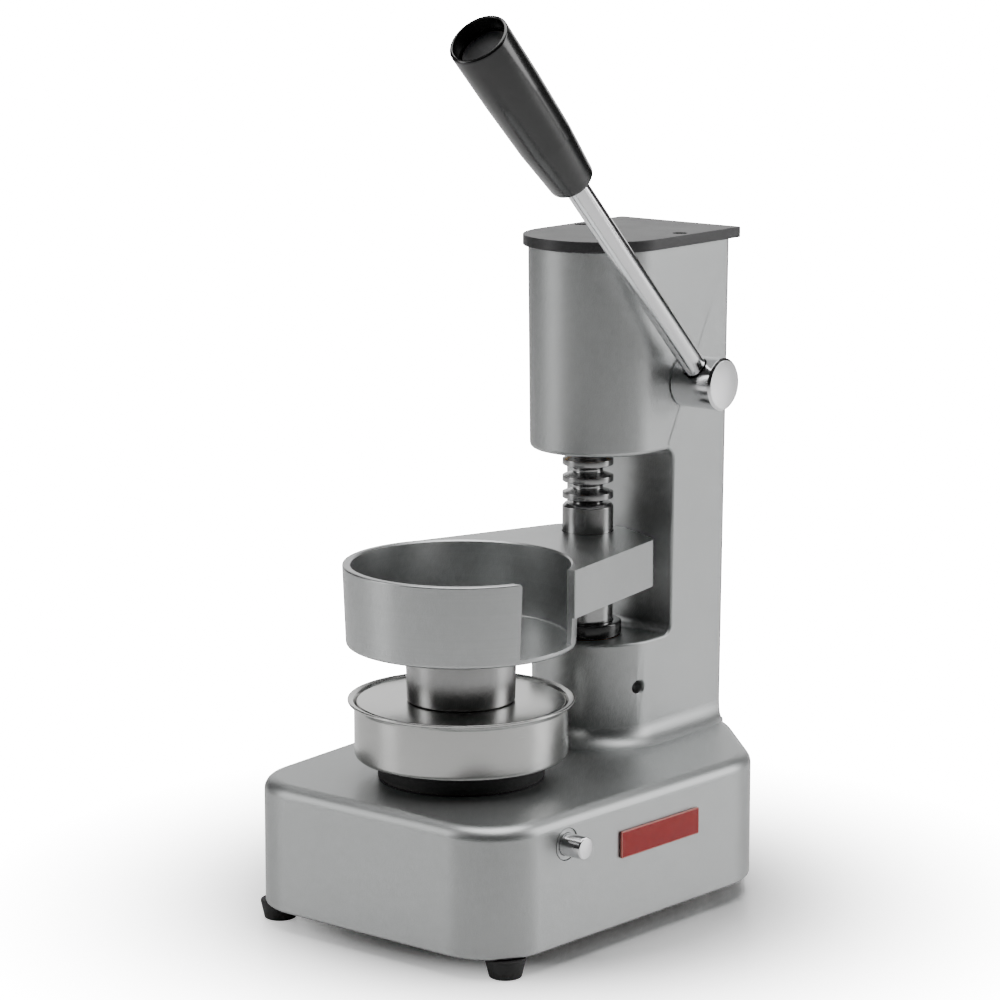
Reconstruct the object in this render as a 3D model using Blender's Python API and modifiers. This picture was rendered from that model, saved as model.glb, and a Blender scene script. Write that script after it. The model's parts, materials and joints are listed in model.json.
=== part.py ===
"""Manual patty press: a lever, a pinion and a round rack press a plate into a round mould.

Metres, +Z up, the front faces -Y and the lever is on the +X side. The origin lies on the table,
under the middle of the machine. Each sub-part is one object; moving ones hang from an empty on
their joint's axis. Helper shapes that cut others are in the cutters collection.
"""

import math

import bmesh
import bpy
from mathutils import Matrix, Vector

# Main axes
PRESS_Y = -0.0515  # mould, press plate and paper cup
RAM_Y = PRESS_Y + 0.0985  # round rack
LEVER_Y = RAM_Y + 0.0337  # pinion and lever
LEVER_Z = 0.2505
LEVER_LEAN = math.radians(45)  # lever at rest, forward of upright
ROCKER_Y = PRESS_Y - 0.04925  # ejector rocker's pivot: the rod lifts a third of the ram's travel
ROCKER_Z = 0.035
ROCKER_PAD = ROCKER_Z + 0.002
ROCKER_PIN_R = 0.003
FORK_BOTTOM = 0.0315
FORK_TOP = 0.0345
BUTTON_Y = PRESS_Y - 0.0225
BUTTON_Z = 0.058

GAP = 0.0003  # between pieces that touch
WALL = 0.006

# Base and column casting
BASE_BOTTOM = 0.0095
BASE_TOP = 0.072
BASE_CEILING = 0.066
BASE_EDGE = 0.005
BASE_FRONT_HALF = 0.079
BASE_REAR_HALF = 0.090
BASE_FRONT = PRESS_Y - 0.0705
BASE_SIDE_END = PRESS_Y + 0.118
BASE_REAR = PRESS_Y + 0.172
BASE_REAR_HALF_FLAT = 0.034
COLUMN_R = 0.0335
COLUMN_NOSE_Y = PRESS_Y + 0.1067  # centre of the round front
COLUMN_REAR = PRESS_Y + 0.1705
COLUMN_TOP = 0.3172
THROAT_BOTTOM = 0.1235
THROAT_TOP = 0.217
THROAT_REAR = PRESS_Y + 0.124
HEAD_FLOOR = 0.233
PLINTH_FLOOR = 0.095
COVER_OVERHANG = 0.004
COVER_THICK = 0.0053
FOOT_X = 0.070
FOOT_REAR_X = 0.062
FOOT_FRONT_Y = PRESS_Y - 0.053
FOOT_REAR_Y = PRESS_Y + 0.135
FOOT_HOLE_R = 0.0024
FOOT_SCREW_TOP = 0.030
FOOT_RECESS = 0.0042
COVER_HOLE_R = 0.0018
COVER_TAP_R = 0.0016

# Rack and pinion
RACK_PITCH = 0.0083
PINION_TEETH = 18
PINION_R = PINION_TEETH * RACK_PITCH / (2 * math.pi)
PRESSURE_ANGLE = math.radians(20)
RAM_R = 0.01265
RACK_ROOT_R = 0.0075
RACK_PITCH_R = LEVER_Y - RAM_Y - PINION_R
RACK_TOOTH = 0.0049  # thickness on the pitch line; the pinion's teeth take the rest, less backlash
BACKLASH = 0.00035
PINION_TOOTH = RACK_PITCH - RACK_TOOTH - BACKLASH
PINION_TIP = 0.0257
PINION_ROOT = 0.0205
PINION_HALF_WIDTH = 0.007
AXLE_R = 0.008
BUSH_R = 0.016
AXLE_BUSH_R = 0.011
PINION_PIN_X = 0.012
HUB_SCREW_X = 0.0373
CROSS_HOLE_R = 0.0023  # for the pinion pin and the hub screw
RAM_TOP = 0.2835
RAM_SHOULDER = 0.1902
RACK_DROP = 0.0023  # how far the ridges stand below an even spacing about the lever's height, at rest
TAIL_R = 0.006
TAIL_TOP = 0.060
TAIL_END = 0.0275

# Carrier arm, cup and press plate
ARM_TOP = 0.176
ARM_BOTTOM = 0.1528
CUP_R = 0.0559
CUP_INNER_R = 0.0524
CUP_BOTTOM = 0.137
CUP_FLOOR = 0.1395
CUP_SLOT_HALF = 0.0193
NECK_R = 0.0258
NECK_BORE_R = 0.0032
PLATE_RECESS_R = 0.0075
ARM_SCREW_Z = 0.1640
SET_SCREW_R = 0.0031
SET_HOLE_R = 0.0034
FRICTION_Z = 0.1007
PLATE_R = 0.050
PLATE_TOP = 0.1092
PLATE_BOTTOM = 0.1035
BUMPER_R = 0.017
BUMPER_TOP = 0.1308

# Mould, support and ejector
MOULD_BOTTOM = 0.0823
MOULD_FLOOR = 0.0838
MOULD_R = 0.0512
MOULD_INNER_R = 0.0503
MOULD_RIM = 0.1105
MOULD_LIP_R = 0.0543
SUPPORT_R = 0.040
SPIGOT_R = 0.0201
SPIGOT_BOTTOM = 0.0525
LOCK_GROOVE_R = 0.0192
ROD_R = 0.004
EJECTOR_BOTTOM = 0.0891
EJECTOR_THICK = 0.003

# Lever and knob
HUB_R = 0.0127
HUB_END = 0.058
HUB_BORE_END = 0.0406
ROD_X = 0.0465
LEVER_ROD_R = 0.0057
GRIP_START = 0.151
GRIP_END = 0.2485
GRIP_SMALL_R = 0.0108
GRIP_LARGE_R = 0.0145
BUTTON_R = 0.0053
BUTTON_BUSH_R = 0.0075
BUTTON_END = 0.0929
BUTTON_COLLAR = 0.0692
SPRING_SEAT = 0.032
LOCK_PIN_R = 0.003
LOCK_WAIST_R = 0.0022

SEGMENTS = 32
MOULD_SEGMENTS = 36  # pan, press plate and ejector disc nest, so their flats line up


def clear_scene():
    for old in list(bpy.data.objects):
        bpy.data.objects.remove(old, do_unlink=True)


def new_collection(name):
    collection = bpy.data.collections.new(name)
    bpy.context.scene.collection.children.link(collection)
    return collection


clear_scene()
PARTS = new_collection("patty_press")
CUTTERS = new_collection("cutters")


def material(name, colour, roughness, metallic):
    made = bpy.data.materials.new(name)
    made.use_nodes = True
    shader = made.node_tree.nodes["Principled BSDF"]
    shader.inputs["Base Color"].default_value = (*colour, 1)
    shader.inputs["Roughness"].default_value = roughness
    shader.inputs["Metallic"].default_value = metallic
    return made


CAST = material("satin_cast_aluminium", (0.50, 0.51, 0.51), 0.42, 1.0)
STAINLESS = material("brushed_stainless", (0.62, 0.62, 0.61), 0.25, 1.0)
STEEL = material("turned_steel", (0.45, 0.45, 0.45), 0.22, 1.0)
CHROME = material("bright_chrome", (0.72, 0.72, 0.73), 0.10, 1.0)
BLACK_GLOSS = material("glossy_black_plastic", (0.012, 0.012, 0.013), 0.15, 0.0)
BLACK_SATIN = material("satin_black_plastic", (0.03, 0.03, 0.032), 0.45, 0.0)
RUBBER = material("black_rubber", (0.015, 0.015, 0.015), 0.7, 0.0)
BRONZE = material("bearing_bronze", (0.55, 0.36, 0.17), 0.35, 1.0)
RED = material("red_enamel", (0.38, 0.02, 0.02), 0.3, 0.0)


def place(name, mesh, finish, matrix=None):
    """Puts a mesh in the scene as one part."""
    part = bpy.data.objects.new(name, mesh)
    PARTS.objects.link(part)
    if finish:
        mesh.materials.append(finish)
    if matrix is not None:
        part.matrix_world = matrix
    return part


def axis_at(name, x, y, z):
    """An empty on a joint's axis, which the moving pieces hang from."""
    empty = bpy.data.objects.new(name, None)
    PARTS.objects.link(empty)
    empty.location = (x, y, z)
    return empty


def hang(part, axis):
    part.parent = axis
    part.matrix_parent_inverse = Matrix.Translation(axis.location).inverted()
    return part


def along_x(x, y, z):
    """Turns a piece made along Z so that it lies along +X."""
    return Matrix.Translation((x, y, z)) @ Matrix.Rotation(math.radians(90), 4, "Y")


def along_lever(x):
    """Puts a piece made along Z on the lever's line, with its zero on the pinion's axis."""
    return Matrix.Translation((x, LEVER_Y, LEVER_Z)) @ Matrix.Rotation(LEVER_LEAN, 4, "X")


def at(x, y, z=0.0):
    return Matrix.Translation((x, y, z))


# Turns an outline drawn in X and Y, and made thick along Z, into Y and Z, thick along X
ON_ITS_SIDE = Matrix(((0, 0, 1, 0), (1, 0, 0, 0), (0, 1, 0, 0), (0, 0, 0, 1)))


def turned(name, profile, finish, matrix, steps=SEGMENTS):
    """A turned piece. Its (radius, height) profile runs down the outer side, and closes if it has a bore."""
    mesh = bpy.data.meshes.new(name)
    on_axis = profile[0][0] == 0
    count = len(profile)
    edges = [(i, i + 1) for i in range(count - 1)]
    if not on_axis:
        edges.append((count - 1, 0))
    mesh.from_pydata([(radius, 0, height) for radius, height in profile], edges, [])
    part = place(name, mesh, finish, matrix)
    screw = part.modifiers.new("turn", "SCREW")
    screw.steps = steps
    screw.render_steps = steps
    screw.use_merge_vertices = True
    screw.merge_threshold = 1e-6
    screw.use_smooth_shade = True
    return part


def rod(name, radius, bottom, top, finish, matrix, chamfer=0.0, steps=24):
    """A plain round bar along its own Z, with both ends chamfered."""
    profile = [(0, top), (radius - chamfer, top)]
    if chamfer:
        profile += [(radius, top - chamfer), (radius, bottom + chamfer)]
        profile += [(radius - chamfer, bottom)]
    else:
        profile += [(radius, bottom)]
    return turned(name, profile + [(0, bottom)], finish, matrix, steps)


def ring(name, inner, outer, bottom, top, finish, matrix, steps=SEGMENTS):
    profile = [(outer, top), (outer, bottom), (inner, bottom), (inner, top)]
    return turned(name, profile, finish, matrix, steps)


def slab(name, outline, bottom, top, finish=None):
    """A flat outline made thick between two heights."""
    curve = bpy.data.curves.new(name, "CURVE")
    curve.dimensions = "2D"
    curve.fill_mode = "BOTH"
    curve.extrude = (top - bottom) / 2
    spline = curve.splines.new("POLY")
    spline.points.add(len(outline) - 1)
    for point, (x, y) in zip(spline.points, outline):
        point.co = (x, y, 0, 1)
    spline.use_cyclic_u = True
    guide = bpy.data.objects.new(name + "_outline", curve)
    PARTS.objects.link(guide)
    graph = bpy.context.evaluated_depsgraph_get()
    mesh = bpy.data.meshes.new_from_object(guide.evaluated_get(graph))
    mesh.name = name
    mesh.materials.clear()
    bpy.data.objects.remove(guide, do_unlink=True)
    solid = bmesh.new()
    solid.from_mesh(mesh)
    bmesh.ops.remove_doubles(solid, verts=solid.verts, dist=1e-6)
    bmesh.ops.translate(solid, verts=solid.verts, vec=(0, 0, (top + bottom) / 2))
    bmesh.ops.recalc_face_normals(solid, faces=solid.faces)
    solid.to_mesh(mesh)
    solid.free()
    return place(name, mesh, finish)


def block(name, low, high, finish=None):
    """A box between two corners."""
    bpy.ops.mesh.primitive_cube_add(size=1)
    part = bpy.context.object
    part.name = name
    size = Vector(high) - Vector(low)
    part.data.transform(Matrix.Diagonal((*size, 1)))
    part.location = (Vector(low) + Vector(high)) / 2
    for collection in list(part.users_collection):
        collection.objects.unlink(part)
    PARTS.objects.link(part)
    if finish:
        part.data.materials.append(finish)
    return part


def combine(part, other, operation):
    boolean = part.modifiers.new(other.name, "BOOLEAN")
    boolean.operation = operation
    boolean.object = other
    if other.name not in CUTTERS.objects:
        PARTS.objects.unlink(other)
        CUTTERS.objects.link(other)
    other.hide_render = True
    other.display_type = "WIRE"


def cut(part, *cutters):
    for cutter in cutters:
        combine(part, cutter, "DIFFERENCE")


def weld_on(part, *others):
    for other in others:
        combine(part, other, "UNION")


def drill(part, radius, start, end, matrix, steps=24):
    """A round hole along the matrix's Z, from start to end."""
    hole = rod(f"{part.name}_hole_{len(part.modifiers)}", radius, start, end, None, matrix, steps=steps)
    cut(part, hole)


def rounded(corners, steps=6):
    """A closed outline through (x, y, radius) corners, with an arc at each radius."""
    outline = []
    count = len(corners)
    for index, (x, y, radius) in enumerate(corners):
        here = Vector((x, y))
        if radius == 0:
            outline.append((x, y))
            continue
        before = (Vector(corners[index - 1][:2]) - here).normalized()
        after = (Vector(corners[(index + 1) % count][:2]) - here).normalized()
        half = before.angle(after) / 2
        centre = here + (before + after).normalized() * radius / math.sin(half)
        first = here + before * radius / math.tan(half) - centre
        last = here + after * radius / math.tan(half) - centre
        start = math.atan2(first.y, first.x)
        sweep = (math.atan2(last.y, last.x) - start + math.pi) % (2 * math.pi) - math.pi
        for step in range(steps + 1):
            angle = start + sweep * step / steps
            outline.append((centre.x + radius * math.cos(angle), centre.y + radius * math.sin(angle)))
    return outline


def base_outline(inset=0.0):
    """The base from above: sides that widen to the rear, and rear corners cut off at a slant."""
    front, rear = BASE_FRONT + inset, BASE_REAR - inset
    half = [
        (BASE_FRONT_HALF - inset, front, 0.031 - inset),
        (BASE_REAR_HALF - inset, BASE_SIDE_END - inset * 0.4, 0.040 - inset),
        (BASE_REAR_HALF_FLAT - inset * 0.4, rear, 0.040 - inset),
    ]
    return rounded(half + [(-x, y, radius) for x, y, radius in reversed(half)])


def column_outline(offset=0.0, steps=18):
    """The column from above: a half-round front, flat sides and a square rear."""
    radius = COLUMN_R + offset
    corner = 0.005 + max(offset, -0.003)
    front = [
        (radius * math.cos(angle), COLUMN_NOSE_Y + radius * math.sin(angle))
        for angle in (math.pi + math.pi * step / steps for step in range(steps + 1))
    ]
    rear = COLUMN_REAR + offset
    arc = [math.pi / 2 * step / 4 for step in range(5)]
    right = [(radius - corner + corner * math.cos(t), rear - corner + corner * math.sin(t)) for t in arc]
    left = [(-x, y) for x, y in reversed(right)]
    return front + right + left


def body_casting():
    """One aluminium casting: hollow base, plinth, spine and open-topped head."""
    casting = slab("body_casting", base_outline(), BASE_BOTTOM, BASE_TOP, CAST)
    edge = casting.modifiers.new("top_edge", "BEVEL")
    edge.width = BASE_EDGE
    edge.segments = 3
    edge.limit_method = "ANGLE"
    edge.angle_limit = math.radians(60)
    weld_on(casting, slab("column_shell", column_outline(), 0.060, COLUMN_TOP))
    cut(casting, slab("base_hollow", base_outline(WALL), -0.010, BASE_CEILING))
    bosses = [
        rod(f"foot_boss_{index}", 0.007, 0.0117, 0.0665, None, at(x, y), steps=16)
        for index, (x, y) in enumerate(foot_places())
    ]
    spigot_boss = rod("spigot_boss", 0.029, 0.049, 0.0665, None, at(0, PRESS_Y), steps=32)
    pin_boss = rod("pin_boss", 0.0065, 0.010, SPRING_SEAT, None, along_x(0, BUTTON_Y, BUTTON_Z), steps=16)
    weld_on(casting, *bosses, spigot_boss, pin_boss)
    cut(casting, slab("plinth_hollow", column_outline(-WALL), 0.060, PLINTH_FLOOR))
    spine_hollow = block(
        "spine_hollow",
        (-0.0265, THROAT_REAR + WALL, 0.055),
        (0.0265, COLUMN_REAR - WALL, 0.245),
    )
    cut(casting, spine_hollow)
    cut(casting, slab("head_hollow", column_outline(-WALL), HEAD_FLOOR, 0.330))
    room_low, room_high = (-0.0085, RAM_Y + 0.010, 0.2225), (0.0085, THROAT_REAR + 0.010, 0.240)
    cut(casting, block("pinion_room", room_low, room_high))
    cut(casting, throat_cutter())
    drill(casting, BUSH_R + GAP, THROAT_TOP - 0.005, HEAD_FLOOR + 0.005, at(0, RAM_Y), 32)
    drill(casting, BUSH_R + GAP, PLINTH_FLOOR - 0.005, THROAT_BOTTOM + 0.005, at(0, RAM_Y), 32)
    drill(casting, LOCK_PIN_R + GAP, -0.013, 0.035, along_x(0, BUTTON_Y, BUTTON_Z), 16)
    drill(casting, SPIGOT_R + GAP, 0.040, BASE_TOP + 0.005, at(0, PRESS_Y), 32)
    drill(casting, AXLE_BUSH_R + GAP, -0.045, 0.045, along_x(0, LEVER_Y, LEVER_Z), 24)
    drill(casting, SET_HOLE_R, 0.010, 0.045, along_x(0, RAM_Y, FRICTION_Z), 16)
    drill(casting, BUTTON_BUSH_R + GAP, 0.060, 0.095, along_x(0, BUTTON_Y, BUTTON_Z), 20)
    for x, y in foot_places():
        drill(casting, FOOT_HOLE_R, 0.005, 0.034, at(x, y), 12)
    for x, y in cover_screw_places():
        drill(casting, COVER_TAP_R, COLUMN_TOP - 0.012, COLUMN_TOP + 0.005, at(x, y), 12)
    return casting


def throat_cutter():
    """The open throat that the carrier arm moves in, with rounded inner corners, made on its side."""
    outline = rounded(
        [
            (COLUMN_NOSE_Y - 0.060, THROAT_BOTTOM, 0),
            (THROAT_REAR, THROAT_BOTTOM, 0.004),
            (THROAT_REAR, THROAT_TOP, 0.004),
            (COLUMN_NOSE_Y - 0.060, THROAT_TOP, 0),
        ],
        steps=4,
    )
    cutter = slab("throat", outline, -0.060, 0.060)
    cutter.data.transform(ON_ITS_SIDE)
    return cutter


def foot_places():
    return [
        (side * x, y)
        for x, y in ((FOOT_X, FOOT_FRONT_Y), (FOOT_REAR_X, FOOT_REAR_Y))
        for side in (-1, 1)
    ]


def cover_screw_places():
    return [(side * 0.0303, PRESS_Y + 0.132) for side in (-1, 1)]


def bottom_plate():
    plate = slab("bottom_plate", base_outline(WALL + 0.0005), 0.0097, 0.0112, STAINLESS)
    for x, y in foot_places():
        drill(plate, FOOT_HOLE_R, 0.000, 0.020, at(x, y), 12)


def feet():
    names = ("front_left", "front_right", "rear_left", "rear_right")
    profile = [(0.0093, 0.0092), (0.0095, 0.0080), (0.0076, 0.0004), (0.0072, 0)]
    profile += [(0.0043, 0), (0.0043, 0.0045), (0.0023, 0.0045), (0.0023, 0.0092)]
    head = [(0.0020, FOOT_RECESS), (0.0038, FOOT_RECESS), (0.0038, 0.0018), (0, 0.0018)]
    for name, (x, y) in zip(names, foot_places()):
        turned(f"foot_{name}", profile, RUBBER, at(x, y), 16)
        shank = [(0, FOOT_SCREW_TOP), (0.0020, FOOT_SCREW_TOP)]
        turned(f"foot_screw_{name}", shank + head, STEEL, at(x, y), 12)


def top_cover():
    bottom = COLUMN_TOP + GAP
    top = bottom + COVER_THICK
    cover = slab("top_cover", column_outline(COVER_OVERHANG), bottom, top, BLACK_SATIN)
    for name, (x, y) in zip(("left", "right"), cover_screw_places()):
        drill(cover, COVER_HOLE_R, COLUMN_TOP - 0.005, top + 0.005, at(x, y), 12)
        drill(cover, 0.0036, top - 0.0025, top + 0.005, at(x, y), 16)
        head = [(0, top - 0.0004), (0.0033, top - 0.0004), (0.0033, top - 0.0022), (0.0015, top - 0.0022)]
        screw = head + [(0.0015, top - 0.015), (0, top - 0.015)]
        turned(f"cover_screw_{name}", screw, BLACK_SATIN, at(x, y), 16)


def name_plate():
    """A blank enamelled plate on the right-hand side of the base."""
    slope = (BASE_REAR_HALF - BASE_FRONT_HALF) / (BASE_SIDE_END - BASE_FRONT)
    y = PRESS_Y + 0.0455
    x = BASE_FRONT_HALF + slope * (y - BASE_FRONT)
    plate = block("name_plate", (0.0003, -0.0286, -0.0065), (0.0013, 0.0286, 0.0065), RED)
    plate.data.transform(Matrix.Translation(plate.location))
    plate.matrix_world = at(x, y, 0.0492) @ Matrix.Rotation(-math.atan(slope), 4, "Z")


def column_bushes():
    on_ram = at(0, RAM_Y)
    bore = RAM_R + GAP
    ring("upper_guide_bush", bore, BUSH_R, THROAT_TOP + 0.0004, HEAD_FLOOR - 0.003, BRONZE, on_ram)
    lower = ring("lower_guide_bush", bore, BUSH_R, PLINTH_FLOOR, THROAT_BOTTOM - 0.0004, BRONZE, on_ram)
    drill(lower, SET_HOLE_R, 0.010, 0.020, along_x(0, RAM_Y, FRICTION_Z), 16)
    ring("ram_bumper", 0.0130, BUMPER_R, THROAT_BOTTOM + GAP, BUMPER_TOP, RUBBER, on_ram)
    rod("friction_screw", SET_SCREW_R, 0.0135, 0.0250, STEEL, along_x(0, RAM_Y, FRICTION_Z), 0.0004, 16)
    for name, start in (("left", -COLUMN_R), ("right", COLUMN_R - WALL)):
        ends = (start + 0.0004, start + WALL - 0.0004)
        across = along_x(0, LEVER_Y, LEVER_Z)
        ring(f"axle_bush_{name}", AXLE_R + GAP, AXLE_BUSH_R, *ends, BRONZE, across, 20)


def mould():
    """The support locked in the base, and the thin mould pan that stands on it."""
    bore = ROD_R + GAP
    profile = [(SUPPORT_R - 0.001, 0.0820), (SUPPORT_R, 0.0810), (SUPPORT_R, BASE_TOP + GAP)]
    profile += [(SPIGOT_R, BASE_TOP + GAP), (SPIGOT_R, BUTTON_Z + 0.0035), (LOCK_GROOVE_R, BUTTON_Z + 0.0033)]
    profile += [(LOCK_GROOVE_R, BUTTON_Z - 0.0033), (SPIGOT_R, BUTTON_Z - 0.0035)]
    profile += [(SPIGOT_R - 0.001, SPIGOT_BOTTOM), (bore, SPIGOT_BOTTOM), (bore, 0.0820)]
    turned("mould_support", profile, BLACK_SATIN, at(0, PRESS_Y))
    lip = [(MOULD_LIP_R, MOULD_RIM), (MOULD_LIP_R, MOULD_RIM - 0.0012)]
    lip += [(MOULD_R + 0.0006, MOULD_RIM - 0.0022), (MOULD_R, MOULD_RIM - 0.004)]
    outer = [(MOULD_R, MOULD_BOTTOM + 0.0018), (MOULD_R - 0.0018, MOULD_BOTTOM)]
    inner = [(bore, MOULD_BOTTOM), (bore, MOULD_FLOOR), (MOULD_INNER_R, MOULD_FLOOR)]
    inner += [(MOULD_INNER_R, MOULD_RIM - 0.0030), (MOULD_R + 0.0005, MOULD_RIM - 0.0009)]
    turned("mould_pan", lip + outer + inner, STAINLESS, at(0, PRESS_Y), MOULD_SEGMENTS)


def rocker_mounting():
    """The bracket that carries the ejector rocker, and its pivot pin."""
    low, high = (-0.014, ROCKER_Y - 0.006, 0.0115), (0.014, ROCKER_Y + 0.006, ROCKER_Z + 0.006)
    bracket = block("rocker_bracket", low, high, STEEL)
    slot_low, slot_high = (-0.0085, ROCKER_Y - 0.010, 0.0145), (0.0085, ROCKER_Y + 0.010, 0.060)
    cut(bracket, block("bracket_slot", slot_low, slot_high))
    drill(bracket, ROCKER_PIN_R + GAP, -0.020, 0.020, along_x(0, ROCKER_Y, ROCKER_Z), 16)
    rod("rocker_pin", ROCKER_PIN_R, -0.0155, 0.0155, STEEL, along_x(0, ROCKER_Y, ROCKER_Z), 0.0004, 16)


def button_guide():
    on_button = along_x(0, BUTTON_Y, BUTTON_Z)
    ring("button_bush", BUTTON_R + GAP, BUTTON_BUSH_R, 0.0715, 0.0815, BRONZE, on_button, 20)
    spring = bpy.data.curves.new("button_spring", "CURVE")
    spring.dimensions = "3D"
    spring.bevel_depth = 0.0005
    spring.bevel_resolution = 0
    spring.use_fill_caps = True
    turns, per_turn, radius = 7, 8, 0.0046
    start, end = SPRING_SEAT + 0.0009, BUTTON_COLLAR - 0.0009
    line = spring.splines.new("POLY")
    count = turns * per_turn
    line.points.add(count)
    for index, point in enumerate(line.points):
        angle = 2 * math.pi * index / per_turn
        x = start + (end - start) * index / count
        point.co = (x, radius * math.cos(angle), radius * math.sin(angle), 1)
    coil = bpy.data.objects.new("button_spring", spring)
    PARTS.objects.link(coil)
    spring.materials.append(STEEL)
    coil.location = (0, BUTTON_Y, BUTTON_Z)


def rack_profile():
    """The round rack from its top end down: ridges a pitch apart."""
    spread = math.tan(PRESSURE_ANGLE)
    tip_half = RACK_TOOTH / 2 - (RAM_R - RACK_PITCH_R) * spread
    root_half = RACK_TOOTH / 2 + (RACK_PITCH_R - RACK_ROOT_R) * spread
    profile = [(0, RAM_TOP), (RACK_ROOT_R, RAM_TOP)]
    for ridge in range(3, -8, -1):
        z = LEVER_Z - RACK_DROP + (ridge + 0.5) * RACK_PITCH
        profile += [(RACK_ROOT_R, z + root_half), (RAM_R, z + tip_half)]
        profile += [(RAM_R, z - tip_half), (RACK_ROOT_R, z - root_half)]
    return profile


def rack_shaft(axis):
    """The ram: round rack, plain guide length and a thin tail for the ejector."""
    profile = rack_profile()
    profile += [(RACK_ROOT_R, RAM_SHOULDER), (RAM_R - 0.002, RAM_SHOULDER), (RAM_R, RAM_SHOULDER - 0.0015)]
    profile += [(RAM_R, TAIL_TOP + 0.001), (RAM_R - 0.001, TAIL_TOP), (TAIL_R, TAIL_TOP)]
    profile += [(TAIL_R, TAIL_END), (0, TAIL_END)]
    hang(turned("rack_shaft", profile, STEEL, at(0, RAM_Y), 16), axis)
    collar = ring("tail_collar", TAIL_R + GAP, 0.010, 0.0275, 0.0300, STEEL, at(0, RAM_Y), 24)
    hang(collar, axis)


def arm_outline():
    """The arm from above, from inside the cup round the ram: its right side is the heavier one."""
    corners = [
        (-0.020, -0.010, 0),
        (0.030, 0.000, 0),
        (0.0535, CUP_SLOT_HALF + GAP, 0),
        (0.0395, 0.1015, 0.008),
        (0.002, 0.1190, 0.025),
        (-0.0215, 0.1030, 0.014),
        (-0.0490, 0.0265, 0),
    ]
    return [(x, y + PRESS_Y) for x, y in rounded(corners, steps=5)]


def carrier_arm(axis):
    """Arm and paper cup in one casting, with the slot in the cup's right-hand wall."""
    arm = slab("carrier_arm", arm_outline(), ARM_BOTTOM, ARM_TOP, CAST)
    weld_on(arm, rod("cup_shell", CUP_R, CUP_BOTTOM, ARM_TOP, None, at(0, PRESS_Y), steps=48))
    drill(arm, CUP_INNER_R, CUP_FLOOR, 0.190, at(0, PRESS_Y), 48)
    slot_low = (0.036, PRESS_Y - CUP_SLOT_HALF, CUP_FLOOR + GAP)
    cut(arm, block("cup_slot", slot_low, (0.070, PRESS_Y + CUP_SLOT_HALF, 0.190)))
    drill(arm, RAM_R + GAP, 0.140, 0.190, at(0, RAM_Y), 32)
    drill(arm, NECK_BORE_R, 0.130, 0.150, at(0, PRESS_Y), 16)
    drill(arm, SET_HOLE_R, -0.050, -0.012, along_x(0, RAM_Y, ARM_SCREW_Z), 16)
    hang(arm, axis)
    across = along_x(0, RAM_Y, ARM_SCREW_Z)
    hang(rod("arm_screw", SET_SCREW_R, -0.0205, -0.0132, STEEL, across, 0.0004, 16), axis)


def press_plate(axis):
    """The neck under the cup and the plate that presses the meat, held by a screw from each end."""
    low, high = PLATE_TOP + GAP, CUP_BOTTOM - GAP
    profile = [(NECK_R, high), (NECK_R - 0.0008, low), (NECK_BORE_R, low), (NECK_BORE_R, high)]
    neck = turned("press_neck", profile, STAINLESS, at(0, PRESS_Y), 32)
    recess = PLATE_BOTTOM + 0.003
    edge = 0.0008
    outer = [(PLATE_R - edge, PLATE_TOP), (PLATE_R, PLATE_TOP - edge), (PLATE_R, PLATE_BOTTOM + edge)]
    outer += [(PLATE_R - edge, PLATE_BOTTOM), (PLATE_RECESS_R, PLATE_BOTTOM), (PLATE_RECESS_R, recess)]
    inner = [(NECK_BORE_R, recess), (NECK_BORE_R, PLATE_TOP)]
    plate = turned("press_plate", outer + inner, STAINLESS, at(0, PRESS_Y), MOULD_SEGMENTS)
    lower = [(0, 0.1205), (0.0028, 0.1205), (0.0028, recess - GAP), (0.0070, recess - GAP)]
    lower += [(0.0070, PLATE_BOTTOM + GAP), (0, PLATE_BOTTOM + GAP)]
    screw = turned("plate_screw", lower, STEEL, at(0, PRESS_Y), 20)
    upper = [(0, CUP_FLOOR + 0.0033), (0.0045, CUP_FLOOR + 0.0033), (0.0058, CUP_FLOOR + 0.0024)]
    upper += [(0.0058, CUP_FLOOR + GAP), (0.0028, CUP_FLOOR + GAP), (0.0028, 0.1230), (0, 0.1230)]
    top_screw = turned("neck_screw", upper, STEEL, at(0, PRESS_Y), 20)
    for piece in (neck, plate, screw, top_screw):
        hang(piece, axis)


def pinion_outline():
    """Involute teeth round the axle, turned so that one of them stands between two ridges of the rack."""
    base_r = PINION_R * math.cos(PRESSURE_ANGLE)

    def involute(radius):
        angle = math.acos(min(1, base_r / radius))
        return math.tan(angle) - angle

    def half_tooth(radius):
        return PINION_TOOTH / (2 * PINION_R) + involute(PINION_R) - involute(max(radius, base_r))

    radii = (PINION_ROOT, base_r, PINION_R, (PINION_R + PINION_TIP) / 2, PINION_TIP)
    outline = []
    for tooth in range(PINION_TEETH):
        middle = math.pi + RACK_DROP / PINION_R + 2 * math.pi * tooth / PINION_TEETH
        angles = [(radius, middle - half_tooth(radius)) for radius in radii]
        angles += [(radius, middle + half_tooth(radius)) for radius in reversed(radii)]
        outline += [(radius * math.cos(angle), radius * math.sin(angle)) for radius, angle in angles]
    return outline


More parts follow.
